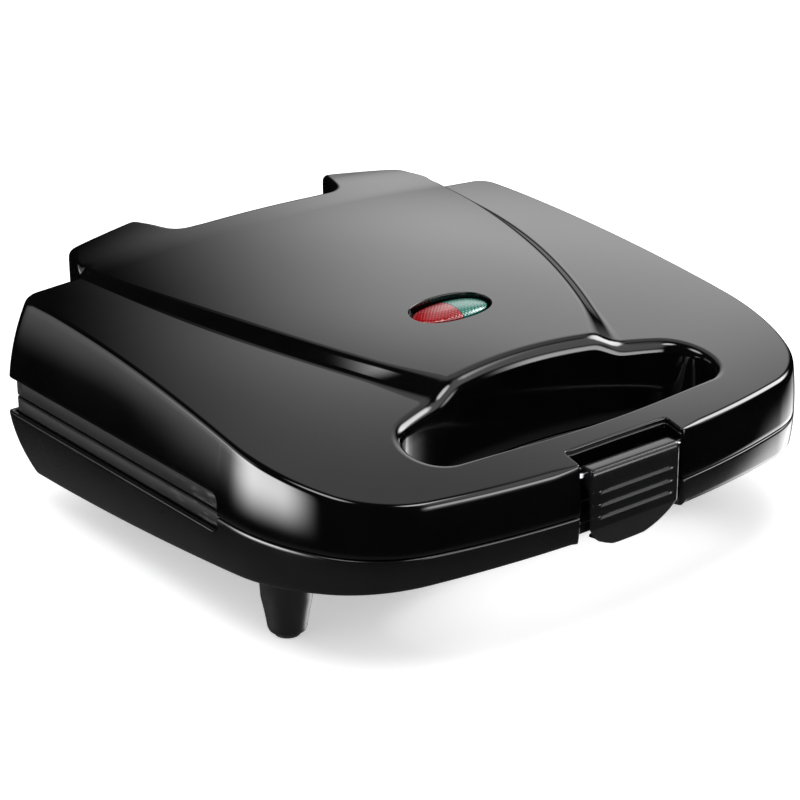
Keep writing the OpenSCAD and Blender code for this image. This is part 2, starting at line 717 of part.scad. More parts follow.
module plate_screw() {
    rod(0, plate_y, plate_face - plate_head_h - 0.3, plate_face - 0.3, plate_head_r);
    rod(0, plate_y, sheet_top - sheet_t - 1.6, plate_face - 1, plate_screw_r);
    rod(0, plate_y, sheet_top - sheet_t - 1.4, sheet_top - sheet_t, 3.1);
}
module lower_plate_screw() color("silver") plate_screw();
module upper_plate_screw() color("silver") turned_over() plate_screw();

// ---- electrical parts of the base ----

module cord_gland() {
    color([0.1, 0.1, 0.1]) difference() {
        union() {
            rod_y(0, rear_y - 11, rear_y + 3.5, gland_z, gland_r);
            rod_y(0, rear_y + 0.5, rear_y + 3.5, gland_z, gland_r + 2.5);
        }
        rod_y(0, rear_y - 12, rear_y + 5, gland_z, cord_r);
    }
}

block_pitch = block_w / 3;
module terminal_block() {
    color("ivory") difference() {
        box(block_low, block_low + [block_w, block_d, block_h]);
        for (i = [0:2]) {
            rod(block_low.x + (i + 0.5) * block_pitch, block_low.y + block_d / 2, block_low.z + 4,
                100, 2.1);
            rod_y(block_low.x + (i + 0.5) * block_pitch, block_low.y - 1, block_low.y + block_d - 2,
                lead_z, lead_r + 0.4);
        }
    }
}
module terminal_screws() {
    color("gold") for (i = [0:2])
        rod(block_low.x + (i + 0.5) * block_pitch, block_low.y + block_d / 2, block_low.z + 7.2,
            block_low.z + block_h - 0.5, 2);
}

module thermostat() {
    color("silver") {
        rod(-34, plate_y, plate_under - 6.2, plate_under, 8.3);
        box([-34 - 12, plate_y - 3, plate_under - 4.4], [-34 + 12, plate_y + 3, plate_under - 3.6]);
    }
}
module thermal_fuse() {
    color("beige") {
        rod_y(34, plate_y - 8, plate_y + 8, plate_under - 2.3, 2.2);
        rod_y(34, plate_y - 15, plate_y + 15, plate_under - 2.3, 0.5);
    }
}

lead_r = 1.2;
// Tube of 8 sides along a route
module lead(route) {
    n = len(route);
    function along(i) = unit(route[min(i + 1, n - 1)] - route[max(i - 1, 0)]);
    side = [for (i = [0:n - 1]) unit(cross(along(i), [0.02, 0.03, 1]))];
    ring = [for (i = [0:n - 1]) for (k = [0:7])
        route[i] + lead_r * (side[i] * cos(45 * k) + cross(along(i), side[i]) * sin(45 * k))];
    polyhedron(ring, concat(
        [[for (k = [7:-1:0]) k]],
        [for (i = [0:n - 2]) for (k = [0:7])
            [i * 8 + k, i * 8 + (k + 1) % 8, (i + 1) * 8 + (k + 1) % 8, (i + 1) * 8 + k]],
        [[for (k = [0:7]) (n - 1) * 8 + k]]));
}
// Points of a smooth curve from a to b that leaves along u and arrives along v
function curve(a, u, v, b, n = 10) = [for (i = [0:n]) let (t = i / n)
    pow(1 - t, 3) * a + 3 * t * pow(1 - t, 2) * (a + u) + 3 * t * t * (1 - t) * (b - v) + pow(t, 3) * b];

tab_y = heater_end_y - bead_len - tab_len;   // front of the heaters' blades
block_low = [-59, tab_y - 0.5, part_z - 16];  // front, bottom and left corner of the terminal block
lead_z = block_low.z + block_h / 2;

// From way i of the terminal block to a heater tab at x, round bends of radius r, rising by lift
module block_lead(i, x, r, lift) {
    x0 = block_low.x + (i + 0.5) * block_pitch;
    flat = concat([[x0, block_low.y + 4]], arc(x0 + r, block_low.y, r, 270, 360, 5),
        [[(x0 + x) / 2, block_low.y - r]], arc(x - r, block_low.y, r, 0, 90, 5));
    n = len(flat) - 1;
    lead([for (k = [0:n]) [flat[k].x, flat[k].y,
        lead_z + (heater_z - lead_z) * k / n + lift * sin(180 * k / n)]]);
}
module base_leads() {
    color("firebrick") {
        block_lead(2, -heater_in, 3, 0);
        block_lead(1, heater_in, 5.5, 3);
    }
}

// ---- lamps ----

lamp_lip = 2;
lamp_under = lamp_z - wall;
holder_h = 9;

module lens(side) {
    intersection() {
        union() {
            intersection() {
                lamp_oval(-lamp_lip - fit, lamp_under - 0.6, lamp_z + 5);
                rod_x(-lamp_w, lamp_w, lamp_cy, lamp_z + 3 - lamp_d, lamp_d);
            }
            lamp_oval(-0.8, lamp_under - 1.3, lamp_under - 0.05);
        }
        box([side > 0 ? 0 : -lamp_w, lamp_cy - lamp_d, 0], [side > 0 ? lamp_w : 0, lamp_cy + lamp_d, 200]);
    }
}
module red_lens() color([0.8, 0.08, 0.08]) lens(-1);
module green_lens() color([0.05, 0.5, 0.35]) lens(1);

module lamp_holder() {
    color([0.08, 0.08, 0.08]) difference() {
        lamp_oval(1, lamp_under - holder_h, lamp_under);
        difference() {
            lamp_oval(-1.5, lamp_under - holder_h + 1.3, lamp_under + 1);
            box([-0.5, lamp_cy - lamp_d, 0], [0.5, lamp_cy + lamp_d, lamp_under - 1.6]);
        }
        lamp_oval(-0.5, lamp_under - 1.5, lamp_under + 1);
    }
}
neon_r = 2.4;
module neon_lamps() {
    color("orange") both_sides()
        rod_x(3, 13, lamp_cy, lamp_under - holder_h + 1.3 + neon_r + 0.1, neon_r);
}

module lid_leads() {
    color("firebrick") both_sides()
        lead(curve([heater_in, tab_y - 0.1, 2 * part_z - heater_z], [0, -7, 0], [0, 6, 0],
            [10, lamp_cy - lamp_d / 2 - 1.1, lamp_under - holder_h + 2.6]));
}

// ---- latch ----

grip_half = 16.3;
latch_grooves = [7.5, 2.6, -2];

module latch() {
    face = -latch_proud;
    hook_y = catch_y - 0.4;
    hook_z = -catch_z - 0.5;
    color([0.1, 0.1, 0.1]) translate([0, front_y, part_z]) difference() {
        intersection() {
            union() {
                translate([-latch_w / 2, 0, 0]) rotate([90, 0, 90]) linear_extrude(latch_w)
                    polygon([[face + 0.6, latch_up], [face, latch_up - 1.2], [face, -6],
                        [face + 1.2, -11], [face + 3.6, 0.8 - latch_drop], [face + 5, -latch_drop],
                        [face + 5.8, 1 - latch_drop], [face + 4.2, -12.6], [hook_y, -12.2], [hook_y, hook_z],
                        [2.4, hook_z], [2.4, 8], [latch_back, latch_up]]);
                rod_x(-latch_w / 2, latch_w / 2, latch_back, latch_up, latch_barrel_r);
            }
            // the tongue is rounded, seen from the front
            translate([0, 20, 0]) rotate([90, 0, 0]) linear_extrude(40) union() {
                translate([-latch_w / 2, -6]) square([latch_w, latch_up + latch_barrel_r + 6]);
                intersection() {
                    translate([0, tongue_r - latch_drop]) circle(r = tongue_r, $fn = 96);
                    translate([-latch_w / 2, -latch_drop - 1]) square([latch_w, latch_drop + 1]);
                }
            }
        }
        rod_x(-latch_w, latch_w, latch_back, latch_up, latch_pin_r + pin_clear);
        for (z = latch_grooves) rod_x(-grip_half, grip_half, face, z, 0.6);
    }
}
tongue_r = (pow(latch_w / 2, 2) + pow(latch_drop - 6, 2)) / 2 / (latch_drop - 6);

module latch_pin() {
    color("silver") rod_x(-notch_w / 2 - wall, notch_w / 2 + wall, latch_y, latch_z, latch_pin_r);
}

base_housing();
lower_frame();
lower_plate();
lower_heater();
lower_heater_terminals();
lower_heater_straps();
lower_strap_screws();
lower_reflector();
lower_frame_screws();
lower_plate_screw();
front_left_foot();
front_right_foot();
rear_left_foot();
rear_right_foot();
foot_pads();
foot_screws();
left_hinge_pin();
right_hinge_pin();
cord_gland();
terminal_block();
terminal_screws();
thermostat();
thermal_fuse();
base_leads();
lid_housing();
upper_frame();
upper_plate();
upper_heater();
upper_heater_terminals();
upper_heater_straps();
upper_strap_screws();
upper_reflector();
upper_frame_screws();
upper_plate_screw();
red_lens();
green_lens();
lamp_holder();
neon_lamps();
lid_leads();
latch();
latch_pin();
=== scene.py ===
# Sandwich toaster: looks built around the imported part. Helper shapes are worked out in
# millimetres and turned into metres when a mesh is made.
import math
import bmesh
import bpy
import numpy as np
from mathutils import Matrix, Vector
from mathutils.geometry import delaunay_2d_cdt


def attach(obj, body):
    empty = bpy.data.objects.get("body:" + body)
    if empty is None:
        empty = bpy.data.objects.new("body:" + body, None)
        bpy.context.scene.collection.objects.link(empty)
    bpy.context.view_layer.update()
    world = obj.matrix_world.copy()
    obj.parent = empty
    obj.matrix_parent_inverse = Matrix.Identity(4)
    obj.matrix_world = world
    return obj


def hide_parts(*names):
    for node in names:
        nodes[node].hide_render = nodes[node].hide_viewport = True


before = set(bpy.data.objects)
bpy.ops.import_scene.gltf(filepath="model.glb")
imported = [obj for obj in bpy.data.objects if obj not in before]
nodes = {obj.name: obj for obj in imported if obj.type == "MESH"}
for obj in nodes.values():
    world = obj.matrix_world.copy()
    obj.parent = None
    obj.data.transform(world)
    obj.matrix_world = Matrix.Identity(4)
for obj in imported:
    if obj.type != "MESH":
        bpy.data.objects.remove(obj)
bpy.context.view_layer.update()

# Camera, as solved from the photograph's outline

cameraSetup = {"place": (-0.5503, -0.6809, 0.4106), "azimuth": -38.584, "elevation": 22.702,
               "roll": -0.258, "lens": 112.14, "sensor": 36, "reach": 20}


# A new object with this data, in the scene
def placed(name, data):
    piece = bpy.data.objects.new(name, data)
    bpy.context.scene.collection.objects.link(piece)
    return piece


def makeCamera(c):
    a, e, r = (math.radians(c[k]) for k in ("azimuth", "elevation", "roll"))
    back = Vector((math.sin(a) * math.cos(e), -math.cos(a) * math.cos(e), math.sin(e)))
    level = Vector((math.cos(a), math.sin(a), 0))
    upright = back.cross(level)
    right = level * math.cos(r) + upright * math.sin(r)
    up = upright * math.cos(r) - level * math.sin(r)
    data = bpy.data.cameras.new("photoCamera")
    data.lens = c["lens"]
    data.sensor_width = c["sensor"]
    data.clip_end = c["reach"]
    camera = placed("photoCamera", data)
    turn = Matrix((right, up, back)).transposed().to_4x4()
    camera.matrix_world = Matrix.Translation(c["place"]) @ turn
    bpy.context.scene.camera = camera


makeCamera(cameraSetup)
print("camera ready")

# Finishes


def newMaterial(name):
    m = bpy.data.materials.new(name)
    m.use_nodes = True
    tree = m.node_tree
    return m, tree, tree.nodes["Principled BSDF"]


def addNode(tree, kind, **values):
    n = tree.nodes.new(kind)
    for key, value in values.items():
        if key in n.inputs:
            n.inputs[key].default_value = value
        else:
            setattr(n, key, value)
    return n


def objectPlace(tree):
    return tree.nodes.new("ShaderNodeTexCoord").outputs["Object"]


def noiseField(tree, scale, detail=4.0, stretch=None):
    out = objectPlace(tree)
    if stretch:
        mapping = addNode(tree, "ShaderNodeMapping", Scale=stretch)
        tree.links.new(out, mapping.inputs["Vector"])
        out = mapping.outputs["Vector"]
    field = addNode(tree, "ShaderNodeTexNoise", Scale=scale, Detail=detail)
    tree.links.new(out, field.inputs["Vector"])
    return field.outputs["Fac"]


def between(tree, source, low, high, fromLow=0.3, fromHigh=0.7):
    n = addNode(tree, "ShaderNodeMapRange")
    limits = {"From Min": fromLow, "From Max": fromHigh, "To Min": low, "To Max": high}
    for key, value in limits.items():
        n.inputs[key].default_value = value
    tree.links.new(source, n.inputs["Value"])
    return n.outputs["Result"]


def arithmetic(tree, operation, a, b):
    n = addNode(tree, "ShaderNodeMath", operation=operation)
    for i, v in enumerate((a, b)):
        if isinstance(v, (int, float)):
            n.inputs[i].default_value = v
        else:
            tree.links.new(v, n.inputs[i])
    return n.outputs[0]


def shades(tree, source, stops):
    ramp = tree.nodes.new("ShaderNodeValToRGB")
    elements = ramp.color_ramp.elements
    while len(elements) < len(stops):
        elements.new(0.5)
    for element, (at, colour) in zip(elements, stops):
        element.position = at
        element.color = (*colour, 1)
    tree.links.new(source, ramp.inputs["Fac"])
    return ramp.outputs["Color"]


# Colour, and a roughness that wanders between the two values of polish
def coat(tree, shader, tint, polish, *noise):
    tree.links.new(tint, shader.inputs["Base Color"])
    tree.links.new(between(tree, noiseField(tree, *noise), *polish), shader.inputs["Roughness"])


# A colour laid over another by an amount; sockets 6 and 7 are the mix node's two colours
def laidOver(tree, under, colour, amount):
    mix = addNode(tree, "ShaderNodeMix", data_type="RGBA")
    tree.links.new(amount, mix.inputs["Factor"])
    tree.links.new(under, mix.inputs[6])
    mix.inputs[7].default_value = (*colour, 1)
    return mix.outputs[2]


def bumpInto(tree, shader, source, depth, previous=None):
    b = addNode(tree, "ShaderNodeBump", Strength=1.0, Distance=depth)
    tree.links.new(source, b.inputs["Height"])
    if previous is not None:
        tree.links.new(previous, b.inputs["Normal"])
    tree.links.new(b.outputs["Normal"], shader.inputs["Normal"])
    return b.outputs["Normal"]


# Loose specks, far apart and in patches
dust = {"scale": 900.0, "size": (0.03, 0.09), "patches": 35, "patchRange": (0.55, 0.7),
        "colour": (0.45, 0.44, 0.42)}


def dusted(tree, tint, amount):
    specks = addNode(tree, "ShaderNodeTexVoronoi", Scale=dust["scale"])
    tree.links.new(objectPlace(tree), specks.inputs["Vector"])
    speck = between(tree, specks.outputs["Distance"], amount, 0.0, *dust["size"])
    patch = between(tree, noiseField(tree, dust["patches"]), 0.0, 1.0, *dust["patchRange"])
    return laidOver(tree, tint, dust["colour"], arithmetic(tree, "MULTIPLY", speck, patch))


# Pale rubs, thickest where the side bands end at the front; they fade between 40 and 8 mm in front of
# the origin
rubs = {"scale": 700, "stretch": (1, 0.22, 1), "range": (0.53, 0.66), "strength": 0.8, "elsewhere": 0.06,
        "fades": (-0.04, -0.008), "colour": (0.13, 0.13, 0.13)}


def rubbed(tree, tint):
    axes = tree.nodes.new("ShaderNodeSeparateXYZ")
    tree.links.new(objectPlace(tree), axes.inputs[0])
    nearEnd = between(tree, axes.outputs["Y"], 1.0, rubs["elsewhere"], *rubs["fades"])
    streaks = noiseField(tree, rubs["scale"], 6, rubs["stretch"])
    marks = between(tree, streaks, 0.0, rubs["strength"], *rubs["range"])
    return laidOver(tree, tint, rubs["colour"], arithmetic(tree, "MULTIPLY", nearEnd, marks))


# Moulded plastic: mottled colour, uneven polish, a fine grain and the slow waver of a moulded face
def mouldedPlastic(name, colour, polish, grain, depth, waver=0.0, dustiness=0.0, specular=0.5, worn=False):
    m, tree, shader = newMaterial(name)
    lighter = tuple(min(1, c * 1.5 + 0.0004) for c in colour)
    tint = shades(tree, noiseField(tree, 60), [(0.3, colour), (0.75, lighter)])
    if dustiness:
        tint = dusted(tree, tint, dustiness)
    if worn:
        tint = rubbed(tree, tint)
    coat(tree, shader, tint, polish, 25, 6)
    normal = bumpInto(tree, shader, noiseField(tree, 22, 1), waver) if waver else None
    bumpInto(tree, shader, noiseField(tree, grain, 3), depth, normal)
    shader.inputs["Specular IOR Level"].default_value = specular
    return m


def metalSurface(name, colour, polish, brushed=None, depth=0.00001):
    m, tree, shader = newMaterial(name)
    darker = tuple(c * 0.8 for c in colour)
    tint = shades(tree, noiseField(tree, 120, 5), [(0.3, darker), (0.7, colour)])
    coat(tree, shader, tint, polish, 90, 4, brushed)
    shader.inputs["Metallic"].default_value = 1.0
    bumpInto(tree, shader, noiseField(tree, 1500, 2, brushed), depth)
    return m


# Dark non-stick coat with paler flecks
def nonStickCoat(name):
    m, tree, shader = newMaterial(name)
    flecks = addNode(tree, "ShaderNodeTexVoronoi", Scale=1400.0)
    tree.links.new(objectPlace(tree), flecks.inputs["Vector"])
    stops = [(0.06, (0.2, 0.2, 0.21)), (0.14, (0.05, 0.05, 0.054)), (1, (0.035, 0.035, 0.038))]
    coat(tree, shader, shades(tree, flecks.outputs["Distance"], stops), (0.28, 0.42), 70)
    bumpInto(tree, shader, noiseField(tree, 1800, 3), 0.00003)
    return m


# Clear coloured lens, with fine ribs crossing inside it, one every 1.1 mm
def lensPlastic(name, colour, fineness=278.5211504):
    m, tree, shader = newMaterial(name)
    heights = []
    for angle in (45, -45):
        turn = addNode(tree, "ShaderNodeMapping", Rotation=(0, 0, math.radians(angle)))
        wave = addNode(tree, "ShaderNodeTexWave", Scale=fineness)
        tree.links.new(objectPlace(tree), turn.inputs["Vector"])
        tree.links.new(turn.outputs["Vector"], wave.inputs["Vector"])
        heights.append(wave.outputs["Fac"])
    crossed = arithmetic(tree, "MULTIPLY", *heights)
    darker = tuple(c * 0.45 for c in colour)
    coat(tree, shader, shades(tree, crossed, [(0.0, darker), (0.8, colour)]), (0.12, 0.22), 80)
    bumpInto(tree, shader, crossed, 0.00007)
    shader.inputs["Transmission Weight"].default_value = 0.12
    shader.inputs["Coat Weight"].default_value = 0.5
    return m


# The lamps behind the lenses
def neonGlass(name):
    m, tree, shader = newMaterial(name)
    tint = shades(tree, noiseField(tree, 200), [(0.3, (0.8, 0.45, 0.3)), (0.7, (0.95, 0.65, 0.5))])
    coat(tree, shader, tint, (0.05, 0.12), 150)
    bumpInto(tree, shader, noiseField(tree, 400, 2), 0.00002)
    shader.inputs["Transmission Weight"].default_value = 0.6
    return m


lidGloss = mouldedPlastic("lidGloss", (0.0012, 0.0012, 0.0013), (0.05, 0.09), 1500, 0.000001,
                          waver=0.00003, dustiness=0.08)
baseGloss = mouldedPlastic("baseGloss", (0.004, 0.004, 0.0042), (0.13, 0.19), 1500, 0.000001,
                           waver=0.00003, dustiness=0.08)
latchGloss = mouldedPlastic("latchGloss", (0.005, 0.005, 0.0054), (0.14, 0.2), 1500, 0.000003)
frameMatte = mouldedPlastic("frameMatte", (0.008, 0.008, 0.0084), (0.42, 0.55), 1100, 0.00003,
                            specular=0.12)
bandMatte = mouldedPlastic("bandMatte", (0.008, 0.008, 0.0084), (0.42, 0.55), 1100, 0.00003,
                           specular=0.12, worn=True)
footMatte = mouldedPlastic("footMatte", (0.008, 0.008, 0.008), (0.35, 0.45), 1200, 0.00002)
platedSteel = metalSurface("platedSteel", (0.62, 0.62, 0.64), (0.25, 0.4))
redLens = lensPlastic("redLens", (0.5, 0.006, 0.012))
greenLens = lensPlastic("greenLens", (0.012, 0.27, 0.2))

# Finishes of the nodes that keep their own shape; all nodes left out here are plated steel
ownFinishes = (
    (frameMatte, "upper_frame", "lower_frame"),
    (footMatte, "lamp_holder"),
    (mouldedPlastic("padRubber", (0.02, 0.02, 0.02), (0.75, 0.9), 900, 0.00004), "foot_pads"),
    (mouldedPlastic("glandPlastic", (0.03, 0.03, 0.03), (0.5, 0.6), 900, 0.00004), "cord_gland"),
    (mouldedPlastic("ceramicBody", (0.78, 0.75, 0.66), (0.45, 0.6), 700, 0.00003),
     "lower_heater_terminals", "upper_heater_terminals", "terminal_block"),
    (mouldedPlastic("fuseSleeve", (0.7, 0.66, 0.55), (0.5, 0.65), 700, 0.00003), "thermal_fuse"),
    (mouldedPlastic("leadSleeve", (0.35, 0.05, 0.03), (0.5, 0.6), 800, 0.00003), "base_leads", "lid_leads"),
    (metalSurface("heaterSteel", (0.3, 0.28, 0.26), (0.45, 0.65)), "lower_heater", "upper_heater"),
    (metalSurface("plateSheet", (0.8, 0.8, 0.82), (0.25, 0.4), brushed=(1, 12, 1)),
     "lower_reflector", "upper_reflector"),
    (metalSurface("pinSteel", (0.6, 0.6, 0.62), (0.15, 0.3), brushed=(8, 1, 1)),
     "left_hinge_pin", "right_hinge_pin", "latch_pin"),
    (metalSurface("terminalBrass", (0.75, 0.58, 0.28), (0.25, 0.4)), "terminal_screws"),
    (nonStickCoat("plateCoat"), "lower_plate", "upper_plate"),
    (neonGlass("neonGlass"), "neon_lamps"))
nodeFinish = {node: finish for finish, *owners in ownFinishes for node in owners}
for name, piece in nodes.items():
    for slot in piece.material_slots:
        slot.material = nodeFinish.get(name, platedSteel)
print("finishes ready")

# The body's outline, shared by lid and base

body = {
    "halfWidth": 120.5, "frontY": -121.0, "rearY": 99.5, "partZ": 46.5, "length": 220.5,
    "frontRadius": 345.0, "cornerRadius": 43.0, "sideRadius": 88.0, "cornerTurn": 62.0,
    "notchHalf": 24.0, "notchY": -110.5, "notchCorner": 1.2, "notchLip": 1, "stripStart": -42.0,
    "wall": 2.5}
loopHole = {"frontRadius": 326.5, "rearRadius": 198.0, "endRadius": 13.4, "rearCentre": -260.0}
# points along the side, measured from where the side bands start: close together where the edge steps
stripSteps = (-3, -1, -0.3, -0.05, 0, 0.1, 0.4, 1, 1.8, 2.8, 4, 5.5)

# The arcs of front, corner and side run into one another: their centres, and the turn where they meet
frontCentre = body["frontY"] + body["frontRadius"]
cornerTurn = math.radians(body["cornerTurn"])
frontReach = body["frontRadius"] - body["cornerRadius"]
sideReach = body["sideRadius"] - body["cornerRadius"]
cornerAside = body["halfWidth"] - body["sideRadius"] + sideReach * math.sin(cornerTurn)
frontTurn = math.degrees(math.asin(cornerAside / frontReach))
cornerX = frontReach * math.sin(math.radians(frontTurn))
cornerY = frontCentre - frontReach * math.cos(math.radians(frontTurn))
sideX = cornerX - sideReach * math.sin(cornerTurn)
sideY = cornerY + sideReach * math.cos(cornerTurn)


# Points on an arc; angle 0 looks to the front and 90 to the right
def arcRun(cx, cy, r, a0, a1, n):
    a = np.radians(np.linspace(a0, a1, n + 1))
    return np.c_[cx + r * np.sin(a), cy - r * np.cos(a)]


def lineRun(a, b, n):
    t = np.linspace(0, 1, n + 1)[:, None]
    return np.array(a) * (1 - t) + np.array(b) * t


def bezierRun(a, b, c, d, n):
    t = np.linspace(0, 1, n + 1)[:, None]
    a, b, c, d = map(np.array, (a, b, c, d))
    return (1 - t) ** 3 * a + 3 * t * (1 - t) ** 2 * b + 3 * t * t * (1 - t) * c + t ** 3 * d


# Right half of the outline from the notch to the rear corner, drawn in by lean
def sideRuns(lean, rearRadius):
    half, rear, r, lip = (body[k] for k in ("notchHalf", "notchY", "notchCorner", "notchLip"))
    inner = body["frontRadius"] - lean - lip
    start = math.degrees(math.asin((half + lip) / inner))
    endY = frontCentre - math.sqrt(inner ** 2 - (half + lip) ** 2)
    x = body["halfWidth"] - lean
    turn = body["cornerTurn"]
    lastY = body["rearY"] - rearRadius
    quarter = np.radians(np.linspace(0, 90, 6))
    strip = np.array([(x, body["stripStart"] + step) for step in stripSteps])
    return [("notchRear", lineRun((0, rear), (half - r, rear), 6)),
            ("notchCorner", np.c_[half - r + r * np.sin(quarter), rear - r + r * np.cos(quarter)]),
            ("notchSide", lineRun((half, rear - r), (half, endY), 6)),
            ("notchEdge", arcRun(half + lip, endY, lip, -90, start, 6)),
            ("front", arcRun(0, frontCentre, body["frontRadius"] - lean, start, frontTurn, 34)),
            ("corner", arcRun(cornerX, cornerY, body["cornerRadius"] - lean, frontTurn, turn, 34)),
            ("side", arcRun(sideX, sideY, body["sideRadius"] - lean, turn, 90, 20)),
            ("straight", strip),
            ("straight", lineRun(strip[-1], (x, lastY), 40)),
            ("rearCorner", arcRun(body["halfWidth"] - rearRadius, lastY, rearRadius - lean, 90, 180, 16))]


# Joins runs end to end without repeating a point, and adds the mirror image
def closeLoop(runs):
    points, labels = [], []
    for label, run in runs:
        for p in run:
            if points and np.hypot(*(p - points[-1])) < 1e-6:
                continue
            points.append(p)
            labels.append(label)
    half = len(points)
    for i in range(half - 2, 0, -1):
        points.append(np.array([-points[i][0], points[i][1]]))
        labels.append(labels[i])
    return np.array(points), labels


# Directions square to a loop, or to an open path, on its right
def outwardNormals(p, closed=True):
    t = np.roll(p, -1, 0) - np.roll(p, 1, 0) if closed else np.gradient(p, axis=0)
    n = np.c_[t[:, 1], -t[:, 0]]
    return n / np.maximum(np.linalg.norm(n, axis=1), 1e-9)[:, None]


# Hand gap, run clockwise so that its inside lies on the right
def gapLoop():
    g = loopHole
    a, b = g["frontRadius"] - g["endRadius"], g["rearRadius"] - g["endRadius"]
    c0, c1 = frontCentre, g["rearCentre"]
    endY = (c0 ** 2 - c1 ** 2 - a * a + b * b) / (2 * (c0 - c1))
    endX = math.sqrt(b * b - (endY - c1) ** 2)
    turn0 = math.degrees(math.atan2(endX, c0 - endY))
    turn1 = math.degrees(math.atan2(endX, endY - c1))
    runs = [("gapFront", arcRun(0, c0, g["frontRadius"], 0, turn0, 24)),
            ("gapEnd", arcRun(endX, endY, g["endRadius"], turn0, 180 - turn1, 30)),
            ("gapRear", arcRun(0, c1, g["rearRadius"], 180 - turn1, 180, 24))]
    points, labels = closeLoop(runs)
    return points[::-1].copy(), labels[::-1]


def insideOf(loop, points):
    x, y = points[:, 0], points[:, 1]
    inside = np.zeros(len(points), bool)
    x0, y0 = loop[:, 0], loop[:, 1]
    x1, y1 = np.roll(x0, -1), np.roll(y0, -1)
    for a, b, c, d in zip(x0, y0, x1, y1):
        if b != d:
            cross = ((b > y) != (d > y)) & (x < (c - a) * (y - b) / (d - b) + a)
            inside ^= cross
    return inside


def nearestTo(loop, points):
    best = np.full(len(points), 1e9)
    for p, q in zip(loop, np.roll(loop, -1, 0)):
        d = q - p
        t = np.clip(((points - p) @ d) / max(d @ d, 1e-12), 0, 1)
        best = np.minimum(best, np.linalg.norm(points - (p + t[:, None] * d), axis=1))
    return best


# Inside the first loop and outside the others
def onFace(loops, points):
    inside = insideOf(loops[0], points)
    for loop in loops[1:]:
        inside &= ~insideOf(loop, points)
    return inside


# Steps of a curve from start to end that is drawn towards the corner
def rounded(start, corner, end, steps):
    return [(1 - t) ** 2 * start + 2 * t * (1 - t) * corner + t * t * end for t in steps]


# Rises softly from 0 to full over the run from start on; a run below 0 goes the other way
def eased(v, full, start, run):
    t = np.clip((v - start) / run, 0, 1)
    return full * (t * t * (3 - 2 * t))


# Collects vertices and faces in millimetres, then makes one smooth mesh
class Skin:
    def __init__(self):
        self.points, self.faces, self.given = [], [], {}

    def add(self, xyz, normal):
        self.points.append(tuple(xyz))
        self.given[len(self.points) - 1] = normal
        return len(self.points) - 1

    def ring(self, xyz):
        start = len(self.points)
        self.points.extend(map(tuple, xyz))
        return list(range(start, start + len(xyz)))

    def band(self, a, b, closed=True, flip=False):
        n = len(a)
        for i in range(n if closed else n - 1):
            j = (i + 1) % n
            f = (a[i], a[j], b[j], b[i])
            self.faces.append(f[::-1] if flip else f)

    def bands(self, rings, flip=False):
        for a, b in zip(rings, rings[1:]):
            self.band(a, b, flip=flip)

    # Bands through all the rings, with both ends closed
    def tube(self, rings, flip=False):
        self.bands(rings, flip)
        self.faces.append(tuple(rings[0] if flip else rings[0][::-1]))
        self.faces.append(tuple(rings[-1][::-1] if flip else rings[-1]))

    # An object in metres; edges sharper than the angle stay crisp
    def make(self, name, material, angle=50):
        mesh = bpy.data.meshes.new(name)
        mesh.from_pydata([tuple(c / 1000 for c in p) for p in self.points], [], self.faces)
        mesh.validate()
        mesh.materials.append(material)
        mesh.polygons.foreach_set("use_smooth", [True] * len(mesh.polygons))
        if self.given:
            normals = [tuple(self.given.get(i, v.normal)) for i, v in enumerate(mesh.vertices)]
            mesh.normals_split_custom_set_from_vertices(normals)
        elif angle:
            mesh.set_sharp_from_angle(angle=math.radians(angle))
        return placed(name, mesh)


# How mouldings are built up: the lip's rings (inset from the outer wall, lift over the free edge), how
# deep the inside goes at the edge and at a hole's rim, the steps of walls and roundings, and the grid
moulding = {
    "lip": ((body["wall"], 0.5), (body["wall"] - 0.45, 0.0), (0.5, 0.0), (0.13, 0.12)),
    "edgeDepth": 6.0, "rimDepth": 5.0,
    "wallStart": 0.45, "wallSteps": 12, "leastWall": 0.8,
    "creaseSteps": (0.12, 0.27, 0.42, 0.58, 0.73, 0.88, 1.0),
    "rimStart": 0.4, "rimSteps": 6,
    "rimRound": (0.1, 0.22, 0.34, 0.46, 0.58, 0.7, 0.82, 0.92, 1.0),
    "spacing": 3.2, "apartSquared": 3.2, "clear": 1.1, "slopeStep": 0.15}
levels = np.linspace(0, 50, 51)
loopTables = {}


# The loop's points, each at its own height over the parting line
def loopPlaces(loopAt, heights):
    if loopAt not in loopTables:
        loopTables[loopAt] = np.array([loopAt(h)[0] for h in levels])
    table = loopTables[loopAt]
    f = np.clip(np.asarray(heights, float), 0, 50)
    i = np.minimum(f.astype(int), 49)
    t = (f - i)[:, None]
    k = np.arange(table.shape[1])
    return table[i, k] * (1 - t) + table[i + 1, k] * t


